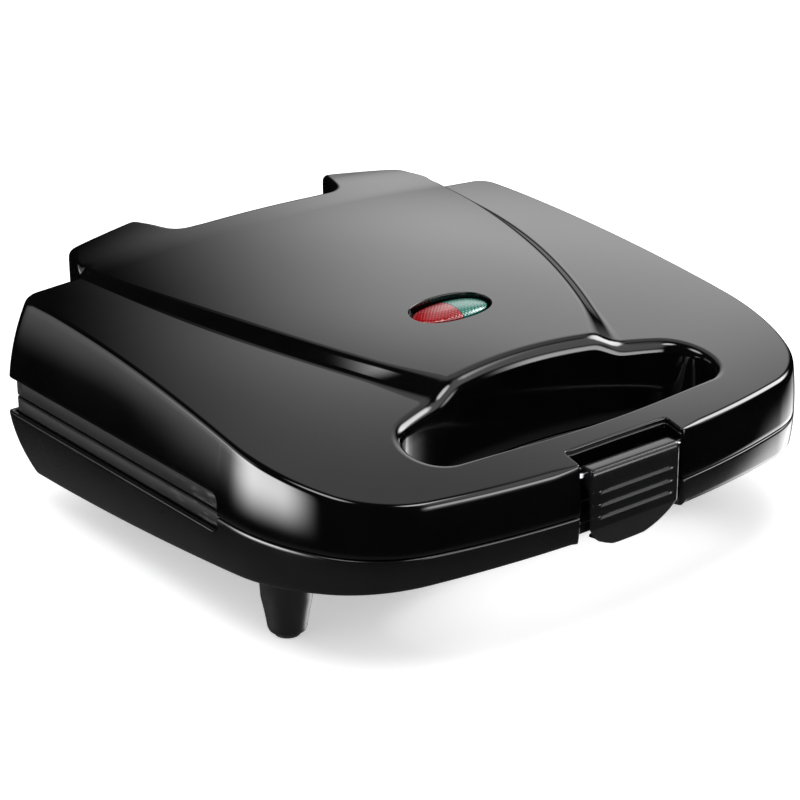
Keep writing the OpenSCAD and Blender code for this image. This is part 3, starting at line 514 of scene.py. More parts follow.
# One side of a hollow moulding. Its walls follow loopAt(h), h millimetres off the parting line, from
# the free edge up to the crease, round the crease, and on over the face that field(x, y) describes.
# sign is 1 for the lid and -1 for the base.
def mouldedShell(skin, sign, loopAt, edge, crease, field, rounds, holes, extra):
    def up(xy, h):
        return np.c_[xy, body["partZ"] + sign * h]

    def lip(loop, end, depth):
        n = outwardNormals(loop)
        steps = ((body["wall"], depth), *moulding["lip"])
        return [up(loop - n * inset, end + lift) for inset, lift in steps]

    def overEdge(start, loop, high, r, steps):
        inner = loop - outwardNormals(loop) * r[:, None]
        return rounded(start, up(loop, high), up(inner, field(inner[:, 0], inner[:, 1])), steps)

    rings = lip(loopPlaces(loopAt, edge), edge, moulding["edgeDepth"])
    wallEnd = np.maximum(crease - rounds, edge + moulding["leastWall"])
    start, steps = moulding["wallStart"], moulding["wallSteps"]
    for k in range(steps + 1):
        h = edge + start + (wallEnd - edge - start) * k / steps
        rings.append(up(loopPlaces(loopAt, h), h))
    rings += overEdge(rings[-1], loopPlaces(loopAt, crease), crease, rounds, moulding["creaseSteps"])
    ids = [skin.ring(r) for r in rings]
    skin.bands(ids, flip=sign < 0)
    borders = [ids[-1]]
    start, steps = moulding["rimStart"], moulding["rimSteps"]
    for hole in holes:
        p, r, end = hole["loop"], hole["round"], np.full(len(hole["loop"]), hole["end"])
        high = field(p[:, 0], p[:, 1])
        rings = [] if hole.get("plain") else lip(p, end, moulding["rimDepth"])
        for k in range(steps + 1):
            rings.append(up(p, end + start + (high - r - end - start) * k / steps))
        rings += overEdge(rings[-1], p, high, r, moulding["rimRound"])
        ids = [skin.ring(r) for r in rings]
        skin.bands(ids, flip=sign < 0)
        borders.append(ids[-1])
    fillFace(skin, sign, field, borders, extra)


# Triangles over the face between the border rings, with normals from the field's slope
def fillFace(skin, sign, field, borders, extra):
    loops = [np.array([skin.points[i][:2] for i in border]) for border in borders]
    fixed = [i for border in borders for i in border]
    edges, at = [], 0
    for loop in loops:
        edges += [(at + i, at + (i + 1) % len(loop)) for i in range(len(loop))]
        at += len(loop)
    low, top = loops[0].min(0), loops[0].max(0)
    step = moulding["spacing"]
    gx, gy = np.meshgrid(np.arange(low[0], top[0], step), np.arange(low[1], top[1], step))
    gx = gx + (np.arange(gx.shape[0])[:, None] % 2) * step / 2
    grid = np.c_[gx.ravel(), gy.ravel()]
    if len(extra):
        far = [((extra - p) ** 2).sum(1).min() >= moulding["apartSquared"] for p in grid]
        grid = np.vstack([grid[far], extra])
    grid = grid[onFace(loops, grid)]
    for loop in loops:
        grid = grid[nearestTo(loop, grid) > moulding["clear"]]
    flat = [Vector(p) for p in np.vstack([*loops, grid])]
    verts, _, faces, origins, _, _ = delaunay_2d_cdt(flat, edges, [], 1, 1e-6)
    flat = np.array([tuple(v) for v in verts])
    triangles = np.array([f for f in faces if len(f) == 3])
    triangles = triangles[onFace(loops, flat[triangles].mean(1))]
    x, y, e = flat[:, 0], flat[:, 1], moulding["slopeStep"]
    h = field(x, y)
    dx = (field(x + e, y) - field(x - e, y)) / (2 * e)
    dy = (field(x, y + e) - field(x, y - e)) / (2 * e)
    normal = np.c_[-dx, -dy, np.ones(len(dx))]
    normal /= np.linalg.norm(normal, axis=1)[:, None]
    normal[:, 2] *= sign
    index = {}
    for k, source in enumerate(origins):
        known = [s for s in source if s < len(fixed)]
        if known:
            index[k] = fixed[known[0]]
            skin.given[index[k]] = tuple(normal[k])
        else:
            index[k] = skin.add((*flat[k], body["partZ"] + sign * h[k]), tuple(normal[k]))
    for a, b, c in triangles:
        f = (index[a], index[b], index[c])
        p, q, r = (flat[i] for i in (a, b, c))
        turns = (q[0] - p[0]) * (r[1] - p[1]) - (q[1] - p[1]) * (r[0] - p[0])
        skin.faces.append(f if (turns > 0) == (sign > 0) else f[::-1])


# Lid shell

lid = {
    "lean": 0.0036, "cornerStart": 4.5, "cornerGrowth": 0.07, "shoulder": 44.8, "fall": 26.3,
    "shoulderCrown": 2800.0, "panel": 48.4, "panelCrown": 1800.0, "swell": 1.2, "swellHalf": 130,
    "swellLoss": (0.35, -20, 115), "edge": 0.3, "bandEdge": 8.0, "hoodEdge": 10.0, "bandEndRound": 3.6,
    "gapRounds": {"gapRear": 5.2, "gapEnd": 4.2, "gapFront": 0.9}}
hood = {"side": ((88.6, 90.0), (82.6, 112.6)), "outer": 11.0, "tip": (46.5, 120.0), "inner": 7.5,
        "root": (41.5, 105.5), "middle": 31.0, "flare": (1.6, 84, 28)}
# The panel's edge is an arc of radius r through start and end. The panel rises in a band along it, with
# this half width and its widenings to the front; changes such as these are (full, start, run) for eased.
panelEdge = {"start": (40.0, -62.0), "end": (87.0, 91.5), "r": 365.0, "half": 1.5,
             "widenings": ((1.7, 95, -85), (2.2, -38, -28)), "front": (1, -90, 18), "ramp": 0.24}
# Extra points where that band bends: along it, and across it in half widths
panelPoints = {"along": (-64, 93, 1.3),
               "across": (-1.55, -1.3, -1.05, -0.8, -0.5, 0, 0.5, 0.8, 1.05, 1.3, 1.55)}
lamp = {
    "cy": -21.0, "halfLong": 17.7, "halfWide": 9.4, "squareness": 2.25, "floor": 36.4, "rimRound": 0.45,
    "points": 96, "lensInset": 1.5, "lensTop": 42.7, "lensRim": 40.1, "split": 0.12, "crown": (2.1, 0.66),
    "rows": 26, "columns": 30}


def panelLine(y):
    (x0, y0), (x1, y1), r = panelEdge["start"], panelEdge["end"], panelEdge["r"]
    half = math.hypot(x1 - x0, y1 - y0) / 2
    depth = math.sqrt(r * r - half * half)
    ux, uy = (x1 - x0) / 2 / half, (y1 - y0) / 2 / half
    cx, cy = (x0 + x1) / 2 - uy * depth, (y0 + y1) / 2 + ux * depth
    return cx + np.sqrt(np.maximum(r * r - (y - cy) ** 2, 1))


def panelHalfBand(y):
    w = panelEdge["half"]
    for change in panelEdge["widenings"]:
        w = w + eased(y, *change)
    return w


def softRamp(t):
    k = panelEdge["ramp"]
    low = (t + k) ** 2 / (4 * k)
    high = 1 - (1 - t + k) ** 2 / (4 * k)
    return np.where(t < -k, 0, np.where(t < k, low, np.where(t < 1 - k, t, np.where(t < 1 + k, high, 1))))


# The top slopes down to the front
def lidFall(y):
    return lid["fall"] * ((body["rearY"] - y) / body["length"]) ** 2


def shoulderHeight(x, y):
    return lid["shoulder"] - lidFall(y) - x * x / lid["shoulderCrown"]


# The raised panel is crowned, a little higher round the lamp than at the rear
def panelHeight(x, y):
    loss, start, run = lid["swellLoss"]
    swell = (1 - loss * np.clip((y - start) / run, 0, 1) ** 2) * (1 - (x / lid["swellHalf"]) ** 2)
    top = lid["panel"] + lid["swell"] * swell + eased(y, *hood["flare"])
    return top - lidFall(y) - x * x / lid["panelCrown"]


def lidField(x, y):
    low = shoulderHeight(x, y)
    w = panelHalfBand(y)
    # the raised panel stops at the hand gap; the bar in front of it is plain
    part = eased(y, *panelEdge["front"])
    return low + (panelHeight(x, y) - low) * part * softRamp((panelLine(y) + w - np.abs(x)) / (2 * w))


# Where a rounded corner between two straights begins and ends
def cornerEnds(a, corner, b, reach):
    a, corner, b = (np.array(v, float) for v in (a, corner, b))
    u, v = (a - corner) / np.linalg.norm(a - corner), (b - corner) / np.linalg.norm(b - corner)
    return corner + u * reach, corner + v * reach


def lidLoop(h):
    lean = lid["lean"] * h * h
    radius = lid["cornerStart"] + lid["cornerGrowth"] * h + lean
    rear = body["rearY"] - lean
    runs = sideRuns(lean, radius)
    (x0, y0), (x1, y1) = hood["side"]
    meet = (x0 + (x1 - x0) * (rear - y0) / (y1 - y0), rear)
    turnA, turnB = hood["side"][1], hood["tip"]
    a0, a1 = cornerEnds(meet, turnA, turnB, hood["outer"])
    b0, b1 = cornerEnds(turnA, turnB, hood["root"], hood["inner"])
    # more points in the last stretch before the hood
    near = (meet[0] + 7, rear)
    middle = (hood["middle"], body["rearY"])
    runs += [("rear", lineRun((body["halfWidth"] - radius, rear), near, 9)),
             ("rear", lineRun(near, meet, 9)),
             ("hood", lineRun(meet, a0, 8)), ("hood", bezierRun(a0, turnA, turnA, a1, 14)),
             ("hood", lineRun(a1, b0, 12)), ("hood", bezierRun(b0, turnB, turnB, b1, 12)),
             ("hood", lineRun(b1, hood["root"], 6)),
             ("hood", bezierRun(hood["root"], (40, 101.4), (38, body["rearY"]), middle, 10)),
             ("middle", lineRun(middle, (0, body["rearY"]), 10))]
    return closeLoop(runs)


# Height of the free edge: low at the front, above the matte band behind it, with a rounded step
def freeEdge(points, labels, edge, bandEdge, hoodEdge):
    start, r = body["stripStart"], lid["bandEndRound"]
    out = np.full(len(points), edge)
    for i, (x, y) in enumerate(points):
        if y >= start - 1e-6 and abs(x) > body["notchHalf"] + 5 or labels[i] in ("rear", "hood", "middle"):
            back = max(0.0, start + r - y)
            out[i] = bandEdge - r + math.sqrt(max(0.0, r * r - back * back))
        if labels[i] in ("hood", "middle") and hoodEdge:
            out[i] = hoodEdge
    return out


# Rounding of the crease; the changes byHood and hood go by the distance from the hood's foot
creaseRound = {
    "notch": 0.7, "front": 2.0, "frontGrowth": 0.12, "side": 1.5, "sideFront": (0.5, -40, -25),
    "sideRear": (0.9, 70, 25), "rear": 1.6, "byHood": (0.8, 1, 7), "hood": (1.6, 1, 7),
    "hoodFoot": (87, 99.5), "middle": 3.6}
# The crease climbs from shoulder to panel along the hood's side, and a little before it along the rear
creaseClimb = {"along": (1, 93, 5), "hoodInside": 60, "rearInset": 1.5}


def blendRound(points, labels):
    c = creaseRound
    footX, footY = c["hoodFoot"]
    out = np.zeros(len(points))
    for i, (x, y) in enumerate(points):
        if labels[i].startswith("notch"):
            out[i] = c["notch"]
        elif labels[i] in ("front", "corner"):
            out[i] = min(c["front"], c["notch"] + c["frontGrowth"] * max(0.0, abs(x) - body["notchHalf"]))
        elif labels[i] in ("side", "straight"):
            out[i] = c["side"] + eased(y, *c["sideFront"]) + eased(y, *c["sideRear"])
        elif labels[i] in ("rearCorner", "rear", "hood"):
            change = c["hood" if labels[i] == "hood" else "byHood"]
            out[i] = c["rear"] + eased(math.hypot(abs(x) - footX, y - footY), *change)
        else:
            out[i] = c["middle"]
    return out


def lidCrease(points, labels):
    c = creaseClimb
    x, y = points[:, 0], points[:, 1]
    labels = np.array(labels)
    low = shoulderHeight(x, y)
    low = np.where(labels == "rear", np.maximum(low, lidField(x, y - c["rearInset"])), low)
    along = np.where(np.abs(x) > c["hoodInside"], eased(y, *c["along"]), 1)
    return np.where(np.isin(labels, ("hood", "middle")), low + (panelHeight(x, y) - low) * along, low)


# Crease height needs the loop at that height, so it is settled in a few rounds
def settle(loopAt, creaseOf):
    points, labels = loopAt(20.0)
    for _ in range(6):
        points = loopPlaces(loopAt, creaseOf(points, labels))
    return points, labels, creaseOf(points, labels)


# Rounding of the hand gap's rim, each change spread over a dozen points either way
def gapRounds(labels):
    out = np.array([lid["gapRounds"][label] for label in labels])
    for _ in range(60):
        out = (np.roll(out, 1) + 2 * out + np.roll(out, -1)) / 4
    return out


# A full oval, squarer than an ellipse
def lampOval():
    a = np.linspace(0, 2 * math.pi, lamp["points"], endpoint=False)
    c, s = np.cos(a), np.sin(a)
    e = 2 / lamp["squareness"]
    return np.c_[lamp["halfLong"] * np.sign(c) * np.abs(c) ** e,
                 lamp["cy"] + lamp["halfWide"] * np.sign(s) * np.abs(s) ** e]


def panelBandPoints():
    points = []
    for y in np.arange(*panelPoints["along"]):
        line, w = float(panelLine(y)), float(panelHalfBand(y))
        for t in panelPoints["across"]:
            points += [(-(line + t * w), y), (line + t * w, y)]
    return np.array(points)


def buildLid():
    skin = Skin()
    points, labels, crease = settle(lidLoop, lidCrease)
    gap, gapLabels = gapLoop()
    oval = lampOval()
    holes = [{"loop": gap, "round": gapRounds(gapLabels), "end": lid["edge"]},
             {"loop": oval[::-1].copy(), "round": np.full(len(oval), lamp["rimRound"]), "end": lamp["floor"],
              "plain": True}]
    edge = freeEdge(points, labels, lid["edge"], lid["bandEdge"], lid["hoodEdge"])
    mouldedShell(skin, 1, lidLoop, edge, crease, lidField, blendRound(points, labels), holes,
                 panelBandPoints())
    # floor under the lenses
    skin.faces.append(skin.ring(np.c_[oval, np.full(len(oval), body["partZ"] + lamp["floor"] + 0.4)]))
    piece = skin.make("lidShell", lidGloss)
    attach(piece, "lid")
    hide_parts("lid_housing")
    return piece


lidPiece = buildLid()
print("lid shell", len(lidPiece.data.polygons), "faces")

# Base shell

base = {"lean": 0.0067, "cornerStart": 2.5, "height": 33.0, "rise": 22.8, "risePower": 1.6, "rearFlat": 4,
        "bandEdge": 6.5, "notchRound": 0.7, "round": 2.0, "gapRound": 1.5}


def baseLoop(h):
    lean = base["lean"] * h * h
    runs = sideRuns(lean, base["cornerStart"] + lean)
    rear = body["rearY"] - lean
    runs += [("rear", lineRun((body["halfWidth"] - base["cornerStart"] - lean, rear), (0, rear), 40))]
    return closeLoop(runs)


def baseField(x, y):
    flat = base["rearFlat"]
    t = np.clip((body["rearY"] - flat - y) / (body["length"] - flat), 0, 1)
    return base["height"] - base["rise"] * t ** base["risePower"] + 0 * x


def buildBase():
    skin = Skin()
    points, labels, crease = settle(baseLoop, lambda p, _: baseField(p[:, 0], p[:, 1]))
    gap = gapLoop()[0]
    holes = [{"loop": gap, "round": np.full(len(gap), base["gapRound"]), "end": lid["edge"]}]
    edge = freeEdge(points, labels, lid["edge"], base["bandEdge"], 0)
    rounds = np.array([base["notchRound" if label.startswith("notch") else "round"] for label in labels])
    mouldedShell(skin, -1, baseLoop, edge, crease, baseField, rounds, holes, np.zeros((0, 2)))
    piece = skin.make("baseShell", baseGloss)
    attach(piece, "base")
    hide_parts("base_housing")
    return piece


basePiece = buildBase()
print("base shell", len(basePiece.data.polygons), "faces")

# Small shapes


# A closed profile of (y, z) swept along x, its ends rounded off; xs are the rings between them, as
# shares of the half width, which widthAt(y, z) gives
def sweptAcross(skin, profile, xs, widthAt, r, shift=None):
    p = np.array(profile, float)
    n = outwardNormals(p)
    w = np.array([widthAt(y, z) for y, z in p])
    quarter = np.radians((0, 30, 60, 90))
    ends = [(p - n * (r * (1 - math.cos(a))), w - r + r * math.sin(a)) for a in quarter]
    stations = [(q, -x) for q, x in ends[::-1]] + [(p, share * (w - r)) for share in xs] + ends
    rings = []
    for q, x in stations:
        if shift is not None:
            q = q + np.array([shift(across, *place) for across, place in zip(x, p)])
        rings.append(skin.ring(np.c_[x, q]))
    skin.tube(rings, flip=True)


# A turned shape: profile of (radius, height) about a line through centre along the axis
def turned(skin, centre, profile, axis="z", n=48):
    a = np.linspace(0, 2 * math.pi, n, endpoint=False)
    rings = []
    for r, h in profile:
        u, v, w = r * np.cos(a), r * np.sin(a), np.full(n, h)
        xyz = {"z": np.c_[u, v, w], "y": np.c_[v, w, u]}[axis]
        rings.append(skin.ring(xyz + np.array(centre)))
    skin.tube(rings)


# Profile points of a rounded path through corners, each corner (y, z, radius)
def roundedPath(corners, n=6):
    out = []
    for i, (*p, r) in enumerate(corners):
        p = np.array(p, float)
        a, b = (np.array(corners[k % len(corners)][:2], float) for k in (i - 1, i + 1))
        if r <= 0:
            out.append(p)
            continue
        toA, toB = np.linalg.norm(a - p), np.linalg.norm(b - p)
        u, v = (a - p) / toA, (b - p) / toB
        half = math.acos(max(-1, min(1, float(u @ v)))) / 2
        reach = min(r / math.tan(half), 0.49 * toA, 0.49 * toB)
        out += rounded(p + u * reach, p, p + v * reach, [k / n for k in range(n + 1)])
    return out


# Latch: corners are (depth behind the face, height over the parting line, radius)

latchShape = {
    "half": 20.7, "faceY": -121.5, "drop": 17.0, "crease": -6.0, "sideRound": 0.9,
    "top": ((0.15, 16.1, 2.6), (0, 12.2, 1.2)),
    "grooves": (7.5, 2.6, -2.0), "grooveHalf": 16.3, "grooveDepth": 0.75, "grooveRange": (-3, 9),
    "groove": ((0, 0.75, 0.2), (0.75, 0.05, 0.2), (0, -0.7, 0.2)),
    "tongue": (1.5, 3, 4.5, 6, 7.2, 8.2, 9, 9.6), "tongueCurve": (0.24, 0.006),
    "hook": ((3.6, -16.2, 0.4), (4.6, -17, 0.6), (5.6, -15.8, 0.6), (4.2, -12.6, 1)),
    "back": ((4.6, -12.2, 0.3), (4.6, -9.5, 0.3), (2.9, -9.5, 0.5), (2.9, 8, 1.5), (7.1, 12, 2.0),
             (6.9, 16.6, 2.4))}


def buildLatch():
    c = latchShape
    z0, face = body["partZ"], c["faceY"]
    corners = [*c["top"]]
    for level in c["grooves"]:
        corners += [(d, level + h, r) for d, h, r in c["groove"]]
    corners += [(0, c["crease"], 1.0)]
    slope, bend = c["tongueCurve"]
    corners += [(slope * d + bend * d * d, c["crease"] - d, 0) for d in c["tongue"]]
    corners = [(face + d, z0 + h, r) for d, h, r in (*corners, *c["hook"], *c["back"])]
    tip = c["drop"] + c["crease"]
    radius = (c["half"] ** 2 + tip ** 2) / 2 / tip
    centreZ = z0 - c["drop"] + radius

    # the tongue below the crease is cut off round
    def widthAt(y, z):
        if z >= z0 + c["crease"]:
            return c["half"]
        return max(1.2, math.sqrt(max(0.0, radius ** 2 - (z - centreZ) ** 2)))

    # the grooves end short of the sides
    def shift(x, y, z):
        depth = y - face
        low, high = c["grooveRange"]
        inGroove = z0 + low < z < z0 + high and 0 < depth <= c["grooveDepth"] + 0.01
        return (-depth, 0) if inGroove and abs(x) > c["grooveHalf"] else (0, 0)

    g = c["grooveHalf"] / (c["half"] - c["sideRound"])
    xs = sorted([s * v for s in (-1, 1) for v in (0.3, 0.6, g - 0.01, g + 0.03, 0.95)] + [0])
    skin = Skin()
    sweptAcross(skin, roundedPath(corners, 5), xs, widthAt, c["sideRound"], shift)
    piece = skin.make("latchClip", latchGloss, 40)
    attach(piece, "latch")
    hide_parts("latch")


buildLatch()

# Lamp lenses


# side is -1 for the left half of the window and 1 for the right
def buildLens(side, name, material, node):
    skin = Skin()
    long, wide = lamp["halfLong"] - lamp["lensInset"], lamp["halfWide"] - lamp["lensInset"]
    z0 = body["partZ"]
    rise = lamp["lensTop"] - lamp["lensRim"]
    power, split = lamp["squareness"], lamp["split"]
    inner, outer = lamp["crown"]
    grid = []
    for i in range(lamp["rows"] + 1):
        # from the split out to the rounded end
        x = split + (long - split) * math.sin(i / lamp["rows"] * math.pi / 2)
        reach = wide * max(0.0, 1 - (x / long) ** power) ** (1 / power)
        row = []
        for j in range(lamp["columns"] + 1):
            y = math.sin((j / lamp["columns"] - 0.5) * math.pi) * reach
            # 0 in the middle, 1 on the rim
            far = ((x / long) ** power + (abs(y) / wide) ** power) ** (1 / power)
            h = lamp["lensRim"] + rise * (max(0.0, 1 - far ** inner)) ** outer
            row.append((side * x, lamp["cy"] + y, z0 + h))
        grid.append(skin.ring(row))
    for a, b in zip(grid, grid[1:]):
        skin.band(a, b, closed=False, flip=side > 0)
    rim = [r[0] for r in grid] + grid[-1][1:-1] + [r[-1] for r in reversed(grid)] + grid[0][1:-1][::-1]
    lower = skin.ring([(*skin.points[i][:2], z0 + lamp["floor"] - 0.4) for i in rim])
    skin.band(rim, lower, flip=side < 0)
    skin.faces.append(tuple(lower if side < 0 else lower[::-1]))
    piece = skin.make(name, material, 50)
    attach(piece, "lid")
    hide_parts(node)


buildLens(-1, "redLamp", redLens, "red_lens")
buildLens(1, "greenLamp", greenLens, "green_lens")
print("latch and lenses ready")

# Matte side bands: lid and base say how low and high each lies from the parting line

bands = {"x": 117.8, "rearY": 96.8, "corner": 6.0, "frontY": -41.3, "depth": 1.2, "edge": 0.5, "bevel": 0.15,
         "lid": (0.75, 8.0), "base": (-6.3, -0.75)}


def buildBand(name, bodyName):
    c = bands
    low, high = c[bodyName]
    r = (high - low) / 2
    x, y, turn = c["x"] - c["corner"], c["rearY"] - c["corner"], c["corner"]
    roundEnd = np.radians((12, 30, 50, 70, 85))
    path = [(c["x"], c["frontY"] + r - r * math.cos(a)) for a in roundEnd]
    scale = [math.sin(a) for a in roundEnd]
    path += [(c["x"], v) for v in np.linspace(c["frontY"] + r, y, 30)]
    path += [*arcRun(x, y, turn, 90, 180, 12)[1:], *lineRun((x, c["rearY"]), (0, c["rearY"]), 20)[1:]]
    scale += [1.0] * (len(path) - len(scale))
    path = np.array(path + [(-u, v) for u, v in reversed(path[:-1])])
    scale += scale[:-1][::-1]
    mid = body["partZ"] + (low + high) / 2
    k, bevel = c["edge"], c["bevel"]
    skin = Skin()
    rings = []
    for p, q, s in zip(path, outwardNormals(path, False), scale):
        h = r * s
        edge = [(-c["depth"], h), (-k, h), (-bevel, h - min(k * 0.35, h / 2)), (0, h - min(k, h))]
        cross = [(d, -e) for d, e in edge] + edge[::-1]
        rings.append(skin.ring([(p[0] + q[0] * d, p[1] + q[1] * d, mid + e) for d, e in cross]))
    skin.tube(rings, flip=True)
    piece = skin.make(name, bandMatte, 60)
    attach(piece, bodyName)


buildBand("lidBand", "lid")
buildBand("baseBand", "base")

# Feet: profiles of (radius, height), the last of them measured from the shell's underside

feet = {
    "places": {"front_left_foot": (-100, -53), "front_right_foot": (100, -53),
               "rear_left_foot": (-84, 73.5), "rear_right_foot": (84, 73.5)},
    "peg": ((4.5, 1.0), (5.5, 1.15), (6.6, 2.0), (7.1, 3.2), (7.5, 6), (8.2, 10), (9.2, 15)),
    "shoulder": (9.8, 16.5), "root": ((10.6, -0.2), (11.2, 0.6), (11.0, 1.4))}


def buildFeet():
    r, least = feet["shoulder"]
    for node, (x, y) in feet["places"].items():
        top = float(body["partZ"] - baseField(0.0, y))
        root = [(wide, top + h) for wide, h in feet["root"]]
        skin = Skin()
        turned(skin, (x, y, 0), [*feet["peg"], (r, max(least, top - 1)), *root])
        piece = skin.make(node.replace("_foot", "Peg"), footMatte, 60)
        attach(piece, "base")
        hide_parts(node)


buildFeet()

# Hinge: knuckle arms below, webs above. Corners are (y, z, radius), an eye goes round the pin with this
# radius between these angles, and a web has two sides and its end at the rear, inside the hood's wall.

hinge = {
    "y": 109.995, "z": 56.5, "knuckle": (52.8, 66.8), "armEye": (6.3, -60, 180), "armRound": 0.8,
    "armFoot": ((97.5, 24, 0.5), (99.8, 22.5, 0.8), (103.2, 24.8, 2), (107.6, 44, 6)),
    "armBack": ((103.695, 50, 4), (101.5, 46, 3), (97.5, 46, 0.5)),
    "webs": ((50.0, 52.5, 117.2), (67.1, 69.6, 114.0)), "webEye": (4.0, 200, 360), "webRound": 0.3,
    "webFront": (97, 62, 2), "webRear": 61, "webTop": 89.0}


def plateAcross(skin, corners, sides, r):
    low, high = sorted(sides)
    start = len(skin.points)
    sweptAcross(skin, roundedPath(corners[::-1], 8), (-1, 0, 1), lambda y, z: (high - low) / 2, r)
    for i in range(start, len(skin.points)):
        x, y, z = skin.points[i]
        skin.points[i] = (x + (low + high) / 2, y, z)


def pinEye(r, start, end):
    a = np.radians(np.linspace(start, end, 14))
    return [(hinge["y"] + r * math.cos(v), hinge["z"] + r * math.sin(v), 0) for v in a]


def buildHinges():
    c = hinge
    for s, side in ((-1, "left"), (1, "right")):
        arm = Skin()
        corners = [*c["armFoot"], *pinEye(*c["armEye"]), *c["armBack"]]
        plateAcross(arm, corners, [s * v for v in c["knuckle"]], c["armRound"])
        piece = arm.make(side + "KnuckleArm", baseGloss, 45)
        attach(piece, "base")
        web = Skin()
        for *sides, rear in c["webs"]:
            corners = [(c["webFront"][0], c["webTop"], 0), c["webFront"], *pinEye(*c["webEye"]),
                       (rear, c["webRear"], 2), (rear, c["webTop"], 0)]
            plateAcross(web, corners, [s * v for v in sides], c["webRound"])
        piece = web.make(side + "HoodWebs", lidGloss, 45)
        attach(piece, "lid")


buildHinges()

# Catch ledge under the front bar, which the latch's hook holds

ledge = {"low": (-23.9, -116.5, 37.5), "high": (23.9, -109.6, 41.5), "round": 0.6}


def buildLedge():
    low, high = np.array(ledge["low"]), np.array(ledge["high"])
    bm = bmesh.new()
    bmesh.ops.create_cube(bm, size=1)
    for v in bm.verts:
        v.co = (low + high) / 2000 + np.array(v.co) * (high - low) / 1000
    bmesh.ops.bevel(bm, geom=bm.edges[:], offset=ledge["round"] / 1000, segments=3, profile=0.5,
                    affect="EDGES")
    mesh = bpy.data.meshes.new("catchLedge")
    bm.to_mesh(mesh)
    bm.free()
    mesh.materials.append(baseGloss)
    mesh.polygons.foreach_set("use_smooth", [True] * len(mesh.polygons))
    mesh.set_sharp_from_angle(angle=math.radians(40))
    catch = placed("catchLedge", mesh)
    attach(catch, "base")


buildLedge()

# Seat of the cord gland: a profile of (radius, y) round a line at this height

glandSeat = {"z": 27.5, "profile": ((10.6, 98.6), (10.6, 99.9), (10.2, 100.3), (8.7, 100.4), (8.6, 99.2))}


def buildGlandSeat():
    skin = Skin()
    turned(skin, (0, 0, glandSeat["z"]), glandSeat["profile"], "y", 64)
    piece = skin.make("glandSeat", baseGloss, 40)
    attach(piece, "base")


buildGlandSeat()

# Notch trim: a fine ridge just under the rim of the notch

trim = {"inset": 0.3, "frontY": -118.6, "corner": 1.5, "below": 1.9, "r": 0.42}


def buildNotchTrim():
    half, rear = body["notchHalf"] - trim["inset"], body["notchY"] - trim["inset"]
    corner, r = trim["corner"], trim["r"]
    path = [(-half, y) for y in np.linspace(trim["frontY"], rear - corner, 8)]
    path += [(-half + corner - corner * math.cos(a), rear - corner + corner * math.sin(a))
             for a in np.radians((15, 30, 45, 60, 75))]
    path += [(x, rear) for x in np.linspace(-half + corner, 0, 12)]
    path = np.array(path + [(-x, y) for x, y in reversed(path[:-1])])
    top = body["partZ"] + (lidField(path[:, 0], path[:, 1]) - trim["below"])
    skin = Skin()
    rings = []
    for p, q, h in zip(path, outwardNormals(path, False), top):
        rings.append(skin.ring([(*(p + q * r * math.cos(a)), h + r * math.sin(a))
                                for a in np.linspace(0, 2 * math.pi, 10, endpoint=False)]))
    skin.tube(rings)
    piece = skin.make("notchTrim", lidGloss, 0)
    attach(piece, "lid")


buildNotchTrim()
print("small pieces ready")

# Floor, backdrop and light

# What polished faces mirror: darkness, with soft panels in it. A panel's compass angle runs from the
# rear (0) to the right (90); it is full within the first half width and gone at the second. Its height
# fades in over the first two angles and out over the last two.
mirrored = {
    "rearRight": {"compass": 49, "half": (5, 22), "height": (2, 22, 32, 50), "level": 2.0},
    "above": {"compass": 55, "half": (15, 45), "height": (38, 52, 64, 80), "level": 0.8},
    "rearLeft": {"compass": -46, "half": (10, 18), "height": (-13, -1, 24, 38), "level": 1.1},
    "left": {"compass": -64, "half": (7, 28), "height": (-23, -12, 0, 13), "level": 14.0},
    "front": {"compass": 157, "half": (12, 24), "height": (-12, -6, 4, 17), "level": 7.5},
    "frontRight": {"compass": 135, "half": (25, 45), "height": (12, 24, 50, 66), "level": 1.5},
    "lowRight": {"compass": 86, "half": (12, 26), "height": (-44, -36, -26, -17), "level": 4.5},
    "ground": {"compass": 0, "half": (180, 181), "height": (-91, -90, -40, -22), "level": 0.1}}
# Small bright lamps: where they stand, and the angles at which they are full and gone
sparkles = {
    "overFront": {"compass": 161, "height": 60, "radius": (5, 13), "level": 11.0},
    "overLeft": {"compass": -91, "height": 62, "radius": (7, 17), "level": 8.0},
    "right": {"compass": 97, "height": 33, "radius": (9, 20), "level": 12.0}}
studio = {"dark": 0.004, "fill": 0.8, "floorHalf": 4000, "floor": (0.93, 0.93, 0.93, 1), "floorGlow": 0.45,
          "lampPlace": (-0.3, -0.2, 1.5), "lampAim": (0, 0, 0.05), "lampSize": 1.2, "lampPower": 14}


def makeStage():
    half = studio["floorHalf"]
    m, tree, shader = newMaterial("floorPale")
    skin = Skin()
    skin.faces.append(skin.ring([(-half, -half, 0), (half, -half, 0), (half, half, 0), (-half, half, 0)]))
    floor = skin.make("studioFloor", m, 0)
    for socket, value in (("Base Color", studio["floor"]), ("Roughness", 0.9), ("Specular IOR Level", 0.0)):
        shader.inputs[socket].default_value = value
    # the floor glows for the camera alone, so that the shadow looks soft
    path = tree.nodes.new("ShaderNodeLightPath")
    glow = arithmetic(tree, "MULTIPLY", path.outputs["Is Camera Ray"], studio["floorGlow"])
    tree.links.new(glow, shader.inputs["Emission Strength"])
    floor.visible_glossy = False


def makeLamp():
    data = bpy.data.lights.new("topSoft", "AREA")
    data.shape = "RECTANGLE"
    data.size = data.size_y = studio["lampSize"]
    data.energy = studio["lampPower"]
    light = placed("topSoft", data)
    light.location = studio["lampPlace"]
    light.rotation_mode = "QUATERNION"
    aim = Vector(studio["lampAim"]) - Vector(studio["lampPlace"])
    light.rotation_quaternion = aim.to_track_quat("-Z", "Y")
    light.visible_glossy = False


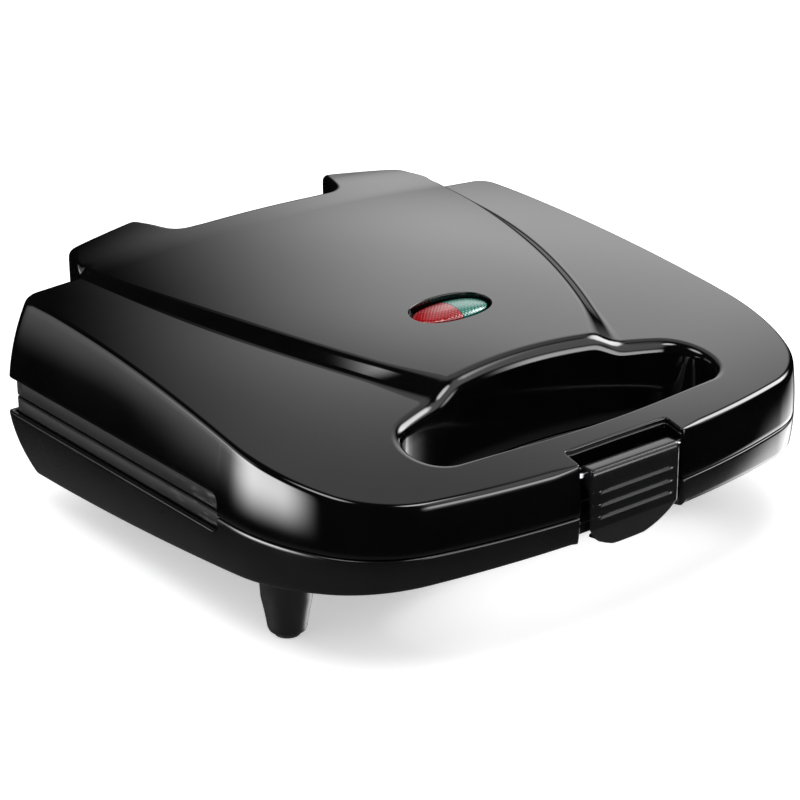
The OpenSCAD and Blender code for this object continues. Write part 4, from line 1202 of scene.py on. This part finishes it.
# 0 at the angle empty and 1 at the angle full
def fade(tree, source, empty, full):
    low, high, first, last = (empty, full, 0, 1) if empty < full else (full, empty, 1, 0)
    out = between(tree, source, first, last, math.radians(low), math.radians(high))
    out.node.interpolation_type = "SMOOTHSTEP"
    return out


# White for the camera, the panels for polished faces and an even fill for all else
def makeWorld():
    world = bpy.data.worlds.new("studio")
    bpy.context.scene.world = world
    world.use_nodes = True
    tree = world.node_tree
    tree.nodes.clear()
    link = tree.links.new
    way = tree.nodes.new("ShaderNodeTexCoord").outputs["Generated"]
    parts = tree.nodes.new("ShaderNodeSeparateXYZ")
    link(way, parts.inputs[0])
    compass = arithmetic(tree, "ARCTAN2", parts.outputs["X"], parts.outputs["Y"])
    height = arithmetic(tree, "ARCSINE", parts.outputs["Z"], 0)
    total = studio["dark"]
    for panel in mirrored.values():
        aside = arithmetic(tree, "SUBTRACT", compass, math.radians(panel["compass"]))
        aside = arithmetic(tree, "WRAP", aside, math.pi)
        aside.node.inputs[2].default_value = -math.pi
        inner, outer = panel["half"]
        shine = fade(tree, arithmetic(tree, "ABSOLUTE", aside, 0), outer, inner)
        low0, low1, high0, high1 = panel["height"]
        for part in (fade(tree, height, low0, low1), fade(tree, height, high1, high0), panel["level"]):
            shine = arithmetic(tree, "MULTIPLY", shine, part)
        total = arithmetic(tree, "ADD", shine, total)
    for spot in sparkles.values():
        az, el = (math.radians(spot[k]) for k in ("compass", "height"))
        aim = addNode(tree, "ShaderNodeVectorMath", operation="DOT_PRODUCT")
        link(way, aim.inputs[0])
        flat = math.cos(el)
        aim.inputs[1].default_value = (math.sin(az) * flat, math.cos(az) * flat, math.sin(el))
        off = arithmetic(tree, "ARCCOSINE", aim.outputs["Value"], 0)
        inner, outer = spot["radius"]
        shine = arithmetic(tree, "MULTIPLY", fade(tree, off, outer, inner), spot["level"])
        total = arithmetic(tree, "ADD", total, shine)
    white = (1, 1, 1, 1)
    mirror, fill, backdrop = (addNode(tree, "ShaderNodeBackground", Color=white, Strength=strength)
                              for strength in (0.0, studio["fill"], 1.0))
    link(total, mirror.inputs["Strength"])
    path = tree.nodes.new("ShaderNodeLightPath")
    surface = fill.outputs[0]
    for ray, shown in (("Is Glossy Ray", mirror), ("Is Camera Ray", backdrop)):
        mix = tree.nodes.new("ShaderNodeMixShader")
        for socket, source in zip(mix.inputs, (path.outputs[ray], surface, shown.outputs[0])):
            link(source, socket)
        surface = mix.outputs[0]
    link(surface, tree.nodes.new("ShaderNodeOutputWorld").inputs["Surface"])


makeStage()
makeWorld()
bpy.context.scene.view_settings.view_transform = "Standard"
makeLamp()
print("stage and light ready")
